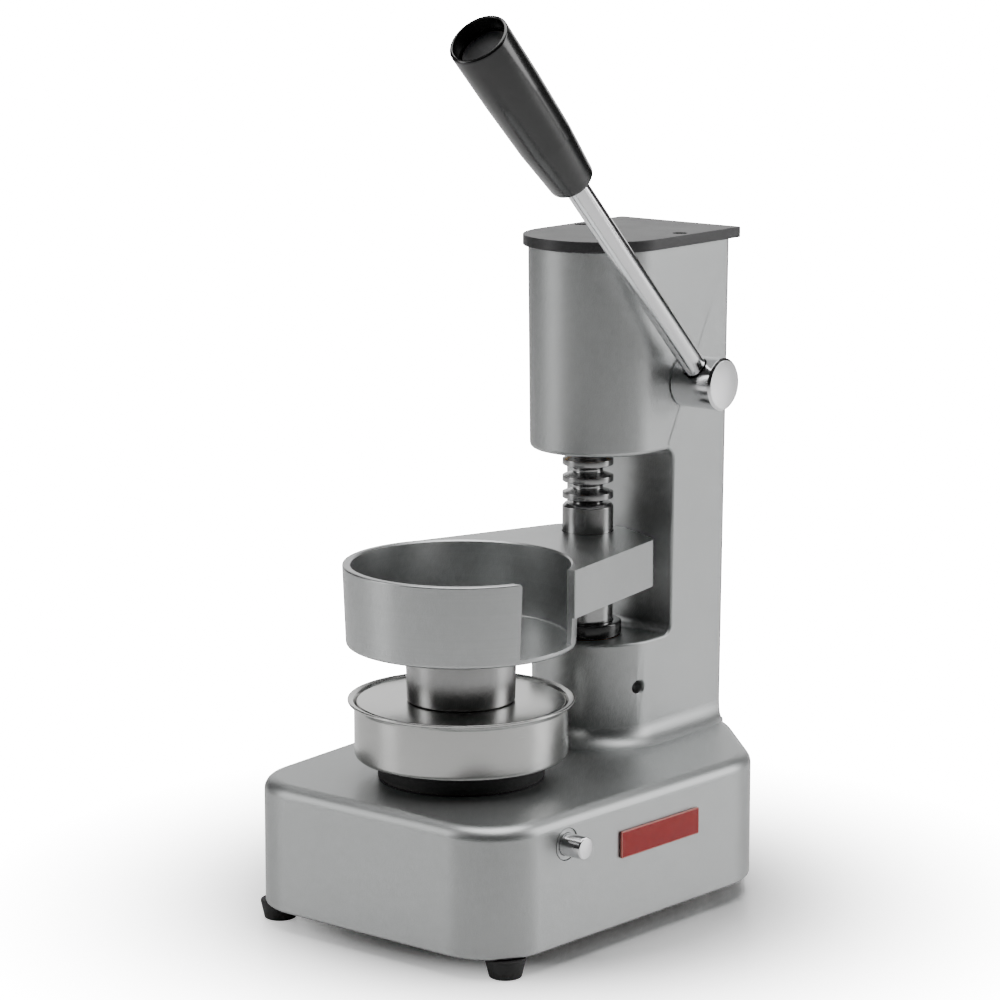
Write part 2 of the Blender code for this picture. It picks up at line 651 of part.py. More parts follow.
def pinion(axis):
    gear = slab("pinion", pinion_outline(), -PINION_HALF_WIDTH, PINION_HALF_WIDTH, STEEL)
    gear.data.transform(ON_ITS_SIDE)
    gear.location = (0, LEVER_Y, LEVER_Z)
    across = along_x(0, LEVER_Y, LEVER_Z)
    on_pin = at(PINION_PIN_X, LEVER_Y, LEVER_Z)
    weld_on(gear, rod("pinion_hub", 0.0125, 0.004, 0.017, None, across, steps=24))
    drill(gear, AXLE_R + GAP, -0.010, 0.020, across, 24)
    drill(gear, CROSS_HOLE_R, -0.020, 0.020, on_pin, 12)
    hang(gear, axis)
    axle = rod("pinion_axle", AXLE_R, -COLUMN_R, HUB_BORE_END - GAP, STEEL, across, 0.0005, 24)
    drill(axle, CROSS_HOLE_R, -0.020, 0.020, on_pin, 12)
    drill(axle, CROSS_HOLE_R, 0, 0.020, along_lever(HUB_SCREW_X), 12)
    hang(axle, axis)
    hang(rod("pinion_pin", CROSS_HOLE_R - GAP, -0.012, 0.012, STEEL, on_pin, 0.0003, 12), axis)


def lever(axis):
    """Hub, rod and grip of the lever, all on its leaning line."""
    start = COLUMN_R + 0.0005
    profile = [(0, HUB_END), (HUB_R - 0.001, HUB_END), (HUB_R, HUB_END - 0.001), (HUB_R, start)]
    profile += [(AXLE_R + GAP, start), (AXLE_R + GAP, HUB_BORE_END), (0, HUB_BORE_END)]
    hub = turned("lever_hub", profile, CHROME, along_x(0, LEVER_Y, LEVER_Z), 28)
    drill(hub, LEVER_ROD_R + GAP, 0.0015, 0.020, along_lever(ROD_X), 24)
    drill(hub, CROSS_HOLE_R, -0.020, 0, along_lever(HUB_SCREW_X), 12)
    hang(hub, axis)
    on_screw = along_lever(HUB_SCREW_X)
    hang(rod("hub_screw", CROSS_HOLE_R - GAP, -0.0118, -0.0083, STEEL, on_screw, 0.0003, 12), axis)
    hang(rod("lever_rod", LEVER_ROD_R, 0.0018, 0.200, CHROME, along_lever(ROD_X), 0.0008, 24), axis)
    bore = LEVER_ROD_R + GAP
    grip = [(GRIP_LARGE_R - 0.0015, GRIP_END), (GRIP_LARGE_R, GRIP_END - 0.002)]
    grip += [(GRIP_LARGE_R - 0.0004, GRIP_END - 0.016), (GRIP_SMALL_R + 0.0006, GRIP_START + 0.008)]
    grip += [(GRIP_SMALL_R, GRIP_START + 0.003)]
    grip += [(GRIP_SMALL_R - 0.002, GRIP_START), (bore, GRIP_START), (bore, 0.2015), (0.0115, 0.2035)]
    grip += [(0.0115, GRIP_END)]
    hang(turned("lever_grip", grip, BLACK_GLOSS, along_lever(ROD_X), 20), axis)
    cap = [(0, GRIP_END - 0.0006), (0.0112, GRIP_END - 0.0006), (0.0112, 0.2040), (0, 0.2040)]
    hang(turned("grip_end_cap", cap, BLACK_GLOSS, along_lever(ROD_X), 20), axis)


def ejector_rocker(axis):
    """A dipped bar from the pivot to a fork round the ram's tail. Its pad lifts the ejector rod."""
    half = 0.0075
    dip = ROCKER_Z - 0.008
    side = [
        (ROCKER_Y, ROCKER_Z - 0.002),
        (PRESS_Y + 0.006, ROCKER_Z - 0.002),
        (PRESS_Y + 0.010, dip - 0.002),
        (PRESS_Y + 0.040, dip - 0.002),
        (PRESS_Y + 0.052, FORK_BOTTOM),
        (RAM_Y - 0.012, FORK_BOTTOM),
        (RAM_Y - 0.012, FORK_TOP),
        (PRESS_Y + 0.050, FORK_TOP),
        (PRESS_Y + 0.038, dip + 0.002),
        (PRESS_Y + 0.013, dip + 0.002),
        (PRESS_Y + 0.007, ROCKER_PAD),
        (ROCKER_Y, ROCKER_PAD),
    ]
    rocker = slab("ejector_rocker", side, -half, half, STEEL)
    rocker.data.transform(ON_ITS_SIDE)
    low, high = (-0.014, RAM_Y - 0.0150, FORK_BOTTOM), (0.014, RAM_Y + 0.0085, FORK_TOP)
    weld_on(rocker, block("rocker_fork", low, high))
    eye = rod("rocker_eye", 0.0052, -half, half, None, along_x(0, ROCKER_Y, ROCKER_Z), steps=16)
    weld_on(rocker, eye)
    cut(rocker, block("fork_slot", (-0.0078, RAM_Y - 0.0105, 0.020), (0.0078, RAM_Y + 0.020, 0.050)))
    drill(rocker, ROCKER_PIN_R + GAP, -0.020, 0.020, along_x(0, ROCKER_Y, ROCKER_Z), 16)
    hang(rocker, axis)


def ejector(axis):
    top = EJECTOR_BOTTOM + EJECTOR_THICK
    profile = [(0.0494, top), (0.0498, top - 0.0004), (0.0498, EJECTOR_BOTTOM), (0.0033, EJECTOR_BOTTOM)]
    hang(turned("ejector_disc", profile + [(0.0033, top)], STAINLESS, at(0, PRESS_Y), MOULD_SEGMENTS), axis)
    low = ROCKER_PAD + 0.0015
    stem = [(0, top - 0.0004), (0.0030, top - 0.0004), (0.0030, EJECTOR_BOTTOM - GAP)]
    stem += [(ROD_R, EJECTOR_BOTTOM - GAP), (ROD_R, low + 0.001), (ROD_R - 0.0015, low), (0, low)]
    hang(turned("ejector_rod", stem, STEEL, at(0, PRESS_Y), 20), axis)


def release_button(axis):
    """Knob and lock pin in one: pushed in, the pin's waist faces the spigot and frees the mould."""
    profile = [(0, BUTTON_END), (BUTTON_R - 0.0006, BUTTON_END), (BUTTON_R, BUTTON_END - 0.0006)]
    profile += [(BUTTON_R, 0.0712), (0.0066, 0.0712), (0.0066, BUTTON_COLLAR), (LOCK_PIN_R, BUTTON_COLLAR)]
    profile += [(LOCK_PIN_R, 0.0158), (LOCK_WAIST_R, 0.0152), (LOCK_WAIST_R, 0.0056), (LOCK_PIN_R, 0.0050)]
    profile += [(LOCK_PIN_R, -0.0010), (LOCK_PIN_R - 0.0005, -0.0015), (0, -0.0015)]
    hang(turned("release_button", profile, CHROME, along_x(0, BUTTON_Y, BUTTON_Z), 16), axis)


def build():
    body_casting()
    bottom_plate()
    feet()
    top_cover()
    name_plate()
    column_bushes()
    mould()
    rocker_mounting()
    button_guide()
    ram_axis = axis_at("ram_axis", 0, RAM_Y, 0)
    rack_shaft(ram_axis)
    carrier_arm(ram_axis)
    press_plate(ram_axis)
    lever_axis = axis_at("lever_axis", 0, LEVER_Y, LEVER_Z)
    pinion(lever_axis)
    lever(lever_axis)
    ejector_rocker(axis_at("rocker_axis", 0, ROCKER_Y, ROCKER_Z))
    ejector(axis_at("ejector_axis", 0, PRESS_Y, 0))
    release_button(axis_at("button_axis", 0, BUTTON_Y, BUTTON_Z))
    for part in PARTS.objects:
        if part.type == "MESH" and "turn" not in part.modifiers:
            part.data.shade_flat()


build()
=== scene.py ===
# %% [markdown]
# # A hand-operated patty press
# The machine is a hollow aluminium casting with a lever on its right-hand side. The lever turns a
# pinion, the pinion drives a round rack, and the rack carries an arm with a paper cup above and a
# press plate below. The working model is loaded first and never changed. Everything after that
# gives each visible part the surface that the real one has.

# %% Load the working model
import json
import math

import bmesh
import bpy
from mathutils import Matrix, Vector


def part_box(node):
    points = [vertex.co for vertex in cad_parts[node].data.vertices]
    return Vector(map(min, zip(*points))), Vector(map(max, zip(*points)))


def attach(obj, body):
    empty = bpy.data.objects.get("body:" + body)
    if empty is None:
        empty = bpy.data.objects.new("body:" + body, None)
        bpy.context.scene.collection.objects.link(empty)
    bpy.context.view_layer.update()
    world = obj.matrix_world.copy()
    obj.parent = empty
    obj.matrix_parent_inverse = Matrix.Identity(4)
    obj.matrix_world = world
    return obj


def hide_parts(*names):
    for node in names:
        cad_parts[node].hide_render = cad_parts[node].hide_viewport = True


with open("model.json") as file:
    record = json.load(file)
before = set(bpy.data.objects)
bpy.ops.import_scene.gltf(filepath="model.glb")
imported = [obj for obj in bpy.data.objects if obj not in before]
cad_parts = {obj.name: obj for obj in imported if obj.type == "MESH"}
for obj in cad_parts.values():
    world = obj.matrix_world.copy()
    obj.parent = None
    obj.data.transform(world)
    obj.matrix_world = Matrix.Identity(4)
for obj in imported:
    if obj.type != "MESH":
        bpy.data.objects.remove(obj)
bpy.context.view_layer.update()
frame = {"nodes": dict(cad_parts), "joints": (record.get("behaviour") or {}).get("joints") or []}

# %% [markdown]
# ## Where things are
# Every axis is read from the working model, so that each piece lands in its own place. The ram, the
# mould and the lever each have one axis, and most of the machine is turned round one of them.

# %% Axes
MM = 0.001


def middle(node):
    low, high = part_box(node)
    return (low + high) / 2


def joint(name):
    return next(j for j in frame["joints"] if j["name"] == name)


PRESS_Y = middle("mould_pan").y
RAM_Y = middle("rack_shaft").y
LEVER_Y, LEVER_Z = joint("lever_turn")["pos_m"][1:]
BUTTON_Y, BUTTON_Z = middle("release_button").yz
ON_PRESS = Matrix.Translation((0, PRESS_Y, 0))
ON_RAM = Matrix.Translation((0, RAM_Y, 0))
ROD_X = middle("lever_rod").x
LEVER_LEAN = math.radians(45)
ON_LEVER = Matrix.Translation((ROD_X, LEVER_Y, LEVER_Z)) @ Matrix.Rotation(LEVER_LEAN, 4, "X")
ALONG_X = Matrix.Rotation(math.radians(90), 4, "Y")
ON_ITS_SIDE = Matrix(((0, 0, 1, 0), (1, 0, 0, 0), (0, 1, 0, 0), (0, 0, 0, 1)))
ON_HUB = Matrix.Translation((0, LEVER_Y, LEVER_Z)) @ ALONG_X
ON_BUTTON = Matrix.Translation((0, BUTTON_Y, BUTTON_Z)) @ ALONG_X
print("press axis", PRESS_Y, "ram axis", RAM_Y, "lever axis", LEVER_Y, LEVER_Z)

# %% [markdown]
# ## Camera
# A long lens from the front right and a little above keeps the verticals nearly parallel, as a
# catalogue picture does.

# %% Camera
camera = bpy.data.objects.new("camera", bpy.data.cameras.new("camera"))
bpy.context.scene.collection.objects.link(camera)
camera.location = (1.0223, -1.28485, 0.51975)
camera.rotation_euler = (math.radians(78.92), 0, math.radians(38.99))
camera.data.lens = 124.49
bpy.context.scene.camera = camera

# %% [markdown]
# ## Outlines with round corners
# Nearly every edge of a real machine is broken by a small radius, and that radius is what catches
# the light. One function rounds the corners of any outline, and both the castings and the turned
# pieces use it.

# %% Rounded outlines
def rounded(corners, steps=6, closed=True):
    """Points through (x, y, radius) corners, with an arc at each radius."""
    outline = []
    count = len(corners)
    for index, (x, y, radius) in enumerate(corners):
        here = Vector((x, y))
        at_end = not closed and index in (0, count - 1)
        if radius == 0 or at_end:
            outline.append((x, y))
            continue
        before = (Vector(corners[index - 1][:2]) - here).normalized()
        after = (Vector(corners[(index + 1) % count][:2]) - here).normalized()
        half = before.angle(after) / 2
        centre = here + (before + after).normalized() * radius / math.sin(half)
        first = here + before * radius / math.tan(half) - centre
        last = here + after * radius / math.tan(half) - centre
        start = math.atan2(first.y, first.x)
        sweep = (math.atan2(last.y, last.x) - start + math.pi) % (2 * math.pi) - math.pi
        for step in range(steps + 1):
            angle = start + sweep * step / steps
            outline.append((centre.x + radius * math.cos(angle), centre.y + radius * math.sin(angle)))
    return outline


# %% [markdown]
# ## Making meshes
# A loft stacks outlines that all have the same number of points. A lathe turns a profile round Z.
# Both close their ends and point their faces outwards.

# %% Lofts and lathes
def finished(name, bm, matrix=None, smooth_angle=32):
    """A bmesh made into an object at the origin, with smooth faces and sharp corners."""
    bmesh.ops.remove_doubles(bm, verts=bm.verts, dist=1e-6)
    bmesh.ops.recalc_face_normals(bm, faces=bm.faces)
    mesh = bpy.data.meshes.new(name)
    bm.to_mesh(mesh)
    bm.free()
    if matrix is not None:
        mesh.transform(matrix)
    mesh.shade_smooth()
    mesh.set_sharp_from_angle(angle=math.radians(smooth_angle))
    piece = bpy.data.objects.new(name, mesh)
    bpy.context.scene.collection.objects.link(piece)
    return piece


def loft(name, loops, matrix=None):
    """Joins loops of (x, y, z) points from the bottom up, and closes both ends."""
    bm = bmesh.new()
    rows = [[bm.verts.new(point) for point in loop] for loop in loops]
    count = len(loops[0])
    for low, high in zip(rows, rows[1:]):
        for i in range(count):
            j = (i + 1) % count
            bm.faces.new((low[i], low[j], high[j], high[i]))
    bm.faces.new(rows[0][::-1])
    bm.faces.new(rows[-1])
    return finished(name, bm, matrix)


def lathe(name, corners, matrix, segments=96, steps=4):
    """Turns (radius, height, corner radius) corners round Z. A profile off the axis closes on itself."""
    on_axis = corners[0][0] == 0
    profile = rounded(corners, steps, closed=not on_axis)
    bm = bmesh.new()
    verts = [bm.verts.new((radius, 0, height)) for radius, height in profile]
    edges = [bm.edges.new(pair) for pair in zip(verts, verts[1:])]
    if not on_axis:
        edges.append(bm.edges.new((verts[-1], verts[0])))
    full_turn = 2 * math.pi
    bmesh.ops.spin(
        bm, geom=verts + edges, cent=(0, 0, 0), axis=(0, 0, 1), angle=full_turn, steps=segments
    )
    return finished(name, bm, matrix)


def prism(name, outline, bottom, top, matrix=None):
    return loft(name, [[(x, y, z) for x, y in outline] for z in (bottom, top)], matrix)


def bar(name, radius, start, end, matrix, segments=48):
    return lathe(name, [(0, end, 0), (radius, end, 0), (radius, start, 0), (0, start, 0)], matrix, segments)


def box(name, low, high):
    x0, y0, z0 = low
    x1, y1, z1 = high
    return prism(name, [(x0, y0), (x1, y0), (x1, y1), (x0, y1)], z0, z1)


# %% [markdown]
# ## Joining, cutting and breaking edges
# The castings are cut and joined with Booleans, which leave every edge knife-sharp. A Bevel that
# reads a weight on each edge then rounds them: the weight says how large that edge's radius is.

# %% Booleans and soft edges
def baked(piece):
    """Applies a piece's modifiers, so that only a plain mesh is left."""
    graph = bpy.context.evaluated_depsgraph_get()
    mesh = bpy.data.meshes.new_from_object(piece.evaluated_get(graph))
    piece.modifiers.clear()
    old = piece.data
    piece.data = mesh
    mesh.name = piece.name
    bpy.data.meshes.remove(old)
    return piece


def combine(piece, others, operation):
    for other in others:
        boolean = piece.modifiers.new(other.name, "BOOLEAN")
        boolean.operation = operation
        boolean.object = other
        boolean.solver = "EXACT"
    baked(piece)
    for other in others:
        bpy.data.objects.remove(other, do_unlink=True)
    return piece


def join_on(piece, *others):
    return combine(piece, others, "UNION")


def cut(piece, *others):
    return combine(piece, others, "DIFFERENCE")


def in_mm(profile):
    """A profile written in millimetres, as metres."""
    return [tuple(size * MM for size in corner) for corner in profile]


SHARP_FROM = math.radians(32)
FLAT_FACE_WEIGHT = 80


def even_shading(piece):
    """Smooth shading that stops at sharp edges, with the flat faces kept flat."""
    piece.data.shade_smooth()
    piece.data.set_sharp_from_angle(angle=SHARP_FROM)
    weighted = piece.modifiers.new("flat_faces", "WEIGHTED_NORMAL")
    weighted.keep_sharp = True
    weighted.weight = FLAT_FACE_WEIGHT
    return baked(piece)


def soften(piece, widest, weight, segments=4, sharpest=38, clamped=True):
    """Rounds the sharp edges of a piece. weight(middle of the edge) gives a share of the widest radius.
    Clamped, no rounding is wider than the shortest edge next to it."""
    bm = bmesh.new()
    bm.from_mesh(piece.data)
    bmesh.ops.remove_doubles(bm, verts=bm.verts, dist=5e-6)
    bmesh.ops.dissolve_limit(bm, angle_limit=math.radians(0.2), verts=bm.verts, edges=bm.edges)
    shares = bm.edges.layers.float.new("bevel_weight_edge")
    rounded_edges = 0
    for edge in bm.edges:
        if len(edge.link_faces) == 2 and edge.calc_face_angle(0) > math.radians(sharpest):
            share = weight((edge.verts[0].co + edge.verts[1].co) / 2)
            edge[shares] = share
            rounded_edges += share > 0
    bm.to_mesh(piece.data)
    bm.free()
    bevel = piece.modifiers.new("edges", "BEVEL")
    bevel.limit_method = "WEIGHT"
    bevel.width = widest
    bevel.segments = segments
    bevel.miter_outer = "MITER_ARC"
    bevel.use_clamp_overlap = clamped
    baked(piece)
    even_shading(piece)
    print(piece.name, "has", rounded_edges, "edges rounded and", len(piece.data.polygons), "faces")
    return piece


# %% [markdown]
# ## Shader sums in plain Python
# A metal's grain is a sum of a few noises. One small class wraps a shader socket, so that such a
# sum reads as arithmetic, and every other node comes from one method that takes its settings and
# inputs.

# %% Shader maths
class Value:
    """A shader socket that takes part in sums."""

    def __init__(self, finish, socket):
        self.finish = finish
        self.socket = socket

    def sum_with(self, operation, first, second):
        return self.finish.node("ShaderNodeMath", {"operation": operation}, {0: first, 1: second})

    def __add__(self, other):
        return self.sum_with("ADD", self, other)

    def __radd__(self, other):
        return self.sum_with("ADD", other, self)

    def __sub__(self, other):
        return self.sum_with("SUBTRACT", self, other)

    def __rsub__(self, other):
        return self.sum_with("SUBTRACT", other, self)

    def __mul__(self, other):
        return self.sum_with("MULTIPLY", self, other)

    def __rmul__(self, other):
        return self.sum_with("MULTIPLY", other, self)

    def __pow__(self, other):
        return self.sum_with("POWER", self, other)


SHADER_NAMES = {"specular_ior_level": "Specular IOR Level"}


class Finish:
    """A material: a Principled shader with its constant values, and the nodes that vary it."""

    def __init__(self, name, slot, colour, **constants):
        self.material = bpy.data.materials.new(name)
        self.material.use_nodes = True
        self.slot = slot
        self.tree = self.material.node_tree
        self.shader = self.tree.nodes["Principled BSDF"]
        self.shader.inputs["Base Color"].default_value = (*colour, 1)
        for key, value in constants.items():
            self.shader.inputs[SHADER_NAMES.get(key, key.replace("_", " ").title())].default_value = value
        self.place = Value(self, self.tree.nodes.new("ShaderNodeTexCoord").outputs["Object"])

    def node(self, kind, settings, inputs, output=0):
        """Adds a node: its settings first, then the values or links of its sockets."""
        made = self.tree.nodes.new(kind)
        for key, value in settings.items():
            if key == "stops":
                for element, (position, colour) in zip(made.color_ramp.elements, value):
                    element.position = position
                    element.color = (*colour, 1)
            else:
                setattr(made, key, value)
        for key, value in inputs.items():
            if isinstance(value, Value):
                self.tree.links.new(value.socket, made.inputs[key])
            else:
                made.inputs[key].default_value = value
        return Value(self, made.outputs[output])

    def centred(self, centre, turn=(0, 0, 0)):
        """The place measured from a point, turned so that a pattern follows a leaning axis."""
        away = self.node("ShaderNodeVectorMath", {"operation": "SUBTRACT"}, {0: self.place, 1: centre})
        if not any(turn):
            return away
        back = {"vector_type": "POINT"}
        unturned = [-angle for angle in turn]
        return self.node("ShaderNodeMapping", back, {"Vector": away, "Rotation": unturned})

    def noise(self, where, scale, detail=2.0, stretch=(1, 1, 1)):
        if stretch != (1, 1, 1):
            scaled = {"Vector": where, "Scale": stretch}
            where = self.node("ShaderNodeMapping", {"vector_type": "POINT"}, scaled)
        inputs = {"Vector": where, "Scale": scale, "Detail": detail, "Roughness": 0.55}
        return self.node("ShaderNodeTexNoise", {"noise_dimensions": "3D"}, inputs)

    def rings(self, where, scale, detail=3.0):
        """Noise that only changes with the distance from Z and along it, as turning marks do."""
        parts = self.tree.nodes.new("ShaderNodeSeparateXYZ")
        self.tree.links.new(where.socket, parts.inputs[0])
        x, y, z = (Value(self, parts.outputs[i]) for i in range(3))
        radius = (x * x + y * y) ** 0.5
        joined = self.node("ShaderNodeCombineXYZ", {}, {"X": radius, "Y": z, "Z": 0.0})
        return self.noise(joined, scale, detail)

    def mix(self, amount, first, second):
        sockets = {"Factor": amount, 6: (*first, 1), 7: (*second, 1)}
        return self.node("ShaderNodeMix", {"data_type": "RGBA"}, sockets, 2)

    def drive(self, **links):
        for key, value in links.items():
            self.tree.links.new(value.socket, self.shader.inputs[key.replace("_", " ").title()])

    def bump(self, height, strength, distance):
        inputs = {"Height": height, "Strength": strength, "Distance": distance}
        self.drive(normal=self.node("ShaderNodeBump", {}, inputs, 0))


# %% [markdown]
# ## Metals
# The casting is bead-blasted: a fine, even grain that scatters the light, with cloudy patches where
# the beads hit harder. The turned pieces carry rings from the tool. The pressed sheet is brushed.

# %% Satin casting
def satin_casting():
    finish = Finish("satin_casting", "cast_aluminium", (0.42, 0.43, 0.43), metallic=1.0)
    cloud = finish.noise(finish.place, 14.0, 3.0)
    grain = finish.noise(finish.place, 1500.0, 2.0)
    finish.drive(base_color=finish.mix(cloud * 0.7 + grain * 0.3, (0.37, 0.38, 0.38), (0.48, 0.49, 0.49)))
    finish.drive(roughness=0.34 + cloud * 0.08 + grain * 0.10)
    finish.bump(grain, 0.25, 0.00012)
    return finish


def milled_arm():
    """The arm and cup are the same alloy, turned inside and lightly brushed outside."""
    finish = Finish("milled_arm", "cast_aluminium", (0.46, 0.47, 0.47), metallic=1.0)
    here = finish.centred((0, PRESS_Y, 0))
    cloud = finish.noise(here, 18.0, 3.0)
    turning = finish.rings(here, 900.0, 4.0)
    grain = finish.noise(here, 1300.0, 2.0)
    finish.drive(base_color=finish.mix(cloud * 0.5 + turning * 0.5, (0.39, 0.40, 0.40), (0.51, 0.52, 0.52)))
    finish.drive(roughness=0.25 + cloud * 0.08 + turning * 0.12)
    finish.bump(turning * 0.7 + grain * 0.3, 0.10, 0.00012)
    return finish


def pressed_stainless():
    finish = Finish("pressed_stainless", "stainless", (0.50, 0.50, 0.49), metallic=1.0)
    here = finish.centred((0, PRESS_Y, 0))
    turning = finish.rings(here, 1400.0, 4.0)
    smudge = finish.noise(here, 40.0, 4.0)
    finish.drive(base_color=finish.mix(smudge, (0.44, 0.44, 0.43), (0.55, 0.55, 0.54)))
    finish.drive(roughness=0.14 + smudge * 0.12 + turning * 0.10)
    finish.bump(turning, 0.05, 0.0001)
    return finish


def turned_steel(name, centre, colour, rough):
    """Ground and turned bar: fine rings and a few darker handling marks."""
    finish = Finish(name, "steel", colour, metallic=1.0)
    here = finish.centred(centre)
    turning = finish.rings(here, 1100.0, 3.0)
    smudge = finish.noise(here, 55.0, 4.0)
    darker = tuple(channel * 0.8 for channel in colour)
    finish.drive(base_color=finish.mix(smudge * 0.6 + turning * 0.4, darker, colour))
    finish.drive(roughness=rough + smudge * 0.10 + turning * 0.08)
    finish.bump(turning, 0.06, 0.0001)
    return finish


def bright_chrome(name, centre, turn, rough):
    """Plated bar: nearly a mirror, with a haze that runs lengthways."""
    finish = Finish(name, "chrome", (0.70, 0.70, 0.71), metallic=1.0)
    here = finish.centred(centre, turn)
    haze = finish.noise(here, 300.0, 3.0, stretch=(1, 1, 0.04))
    smudge = finish.noise(here, 45.0, 3.0)
    finish.drive(base_color=finish.mix(smudge, (0.62, 0.62, 0.63), (0.76, 0.76, 0.77)))
    finish.drive(roughness=rough + smudge * 0.08 + haze * 0.06)
    finish.bump(haze, 0.03, 0.0001)
    return finish


def turned_bronze():
    finish = Finish("turned_bronze", "bronze", (0.55, 0.36, 0.17), metallic=1.0)
    here = finish.centred((0, RAM_Y, 0))
    turning = finish.rings(here, 900.0, 3.0)
    finish.drive(base_color=finish.mix(turning, (0.42, 0.26, 0.12), (0.62, 0.42, 0.20)))
    finish.drive(roughness=0.25 + turning * 0.2)
    finish.bump(turning, 0.08, 0.0001)
    return finish


# %% [markdown]
# ## Plastic, rubber and enamel
# The grip is moulded and polished, so it mirrors the room with a slight ripple. The cover is the
# same colour but satin, with a leathery grain. Rubber is the darkest and the roughest.

# %% Plastics
def moulded_black(name, slot, colour, rough, grain_scale, grain_depth, coat):
    finish = Finish(name, slot, colour, coat_roughness=0.06)
    grain = finish.noise(finish.place, grain_scale, 3.0)
    dust = finish.noise(finish.place, 70.0, 4.0)
    lighter = tuple(channel * 1.8 + 0.001 for channel in colour)
    finish.drive(base_color=finish.mix(dust, colour, lighter))
    finish.drive(roughness=rough + dust * 0.10 + grain * 0.05)
    finish.shader.inputs["Coat Weight"].default_value = coat
    finish.bump(grain, grain_depth, 0.0002)
    return finish


PLATE_HALF_LONG, PLATE_HALF_HIGH = 28.6 * MM, 6.5 * MM


def red_enamel():
    """Plain red enamel with a fine pale line along the edge of the plate, read from its own UV map."""
    finish = Finish("red_enamel", "red_enamel", (0.33, 0.006, 0.005), roughness=0.30, specular_ior_level=0.25)
    uv = finish.node("ShaderNodeUVMap", {"uv_map": "plate"}, {})
    parts = finish.tree.nodes.new("ShaderNodeSeparateXYZ")
    finish.tree.links.new(uv.socket, parts.inputs[0])
    signed = [Value(finish, parts.outputs[axis]) for axis in (0, 1)]
    across, up = (finish.node("ShaderNodeMath", {"operation": "ABSOLUTE"}, {0: side}) for side in signed)
    from_end, from_side = PLATE_HALF_LONG * (across - 1.0), PLATE_HALF_HIGH * (up - 1.0)
    edge = finish.node("ShaderNodeMath", {"operation": "MAXIMUM"}, {0: from_end, 1: from_side})
    line = finish.node("ShaderNodeMath", {"operation": "GREATER_THAN"}, {0: edge, 1: -0.6 * MM})
    mottle = finish.noise(finish.place, 220.0, 3.0)
    ink = finish.mix(mottle, (0.27, 0.003, 0.003), (0.34, 0.005, 0.004))
    pale = {0: line, 6: ink, 7: (0.50, 0.16, 0.14, 1)}
    finish.drive(base_color=finish.node("ShaderNodeMix", {"data_type": "RGBA"}, pale, 2))
    finish.bump(mottle, 0.04, 0.0002)
    return finish


# %% One of each finish
CASTING = satin_casting()
ARM = milled_arm()
SHEET = pressed_stainless()
SHAFT = turned_steel("turned_shaft", (0, RAM_Y, 0), (0.38, 0.38, 0.38), 0.16)
PLAIN_STEEL = turned_steel("plain_steel", (0, PRESS_Y, 0), (0.42, 0.42, 0.42), 0.22)
ROD_CHROME = bright_chrome("rod_chrome", (ROD_X, LEVER_Y, LEVER_Z), (LEVER_LEAN, 0, 0), 0.08)
HUB_CHROME = bright_chrome("hub_chrome", (0, LEVER_Y, LEVER_Z), (0, math.radians(90), 0), 0.10)
KNOB_CHROME = bright_chrome("knob_chrome", (0, BUTTON_Y, BUTTON_Z), (0, math.radians(90), 0), 0.12)
BRONZE = turned_bronze()
GRIP_BLACK = moulded_black("polished_black", "black_gloss", (0.003, 0.003, 0.003), 0.14, 260.0, 0.04, 0.15)
COVER_BLACK = moulded_black("satin_black", "black_satin", (0.014, 0.014, 0.015), 0.32, 1500.0, 0.12, 0.0)
RUBBER = moulded_black("matt_rubber", "rubber", (0.010, 0.010, 0.010), 0.62, 900.0, 0.25, 0.0)
ENAMEL = red_enamel()


# %% [markdown]
# Every finished piece says three things: the body that it rides on, the working part that it stands
# for, and the finish that it takes. One helper says all three.

# %% Placing a piece
def show(piece, finish, body, *nodes):
    piece.data.materials.clear()
    piece.data.materials.append(finish.material)
    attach(piece, body)
    if nodes:
        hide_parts(*nodes)
    print(piece.name, "rides on", body)
    return piece


# %% [markdown]
# ## The casting
# Base, plinth, spine and head are one casting. The base is a loft whose outline shrinks along a
# quarter circle at the top edge. The column is a loft of D-shaped outlines that spread into a
# fillet at its foot. The throat is cut across it, and its edges are then rounded.

# %% Base outline
BASE_LOW, BASE_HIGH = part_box("body_casting")
BASE_TOP = 72 * MM
BASE_FRONT_HALF = 79 * MM
BASE_REAR_HALF = -BASE_LOW.x + 1.1 * MM
BASE_SIDE_END = PRESS_Y + 118 * MM
BASE_REAR = PRESS_Y + 172 * MM
BASE_FLAT_HALF = 34 * MM
EDGE_R = 6.5 * MM
WALL = 6 * MM


def base_outline(inset=0.0, steps=10):
    half = [
        (BASE_FRONT_HALF - inset, BASE_LOW.y + inset, 31 * MM - inset),
        (BASE_REAR_HALF - inset, BASE_SIDE_END - inset * 0.4, 40 * MM - inset),
        (BASE_FLAT_HALF - inset * 0.4, BASE_REAR - inset, 40 * MM - inset),
    ]
    return rounded(half + [(-x, y, radius) for x, y, radius in reversed(half)], steps)


def base_solid():
    foot_r = 1.5 * MM
    loops = []
    for step in range(4):
        turn = math.pi / 2 * step / 3
        loops.append((foot_r * (1 - math.sin(turn)), BASE_LOW.z + foot_r * (1 - math.cos(turn))))
    for step in range(9):
        turn = math.pi / 2 * step / 8
        loops.append((EDGE_R * (1 - math.cos(turn)), BASE_TOP - EDGE_R * (1 - math.sin(turn))))
    return loft("base", [[(x, y, z) for x, y in base_outline(inset)] for inset, z in loops])


# %% Column outline
COLUMN_NOSE_Y = PRESS_Y + 106.7 * MM
COLUMN_REAR = PRESS_Y + 170.5 * MM
COLUMN_TOP = BASE_HIGH.z
FOOT_FILLET = 10 * MM
THROAT_BOTTOM, THROAT_TOP = 123.5 * MM, 217 * MM
THROAT_REAR = PRESS_Y + 124 * MM


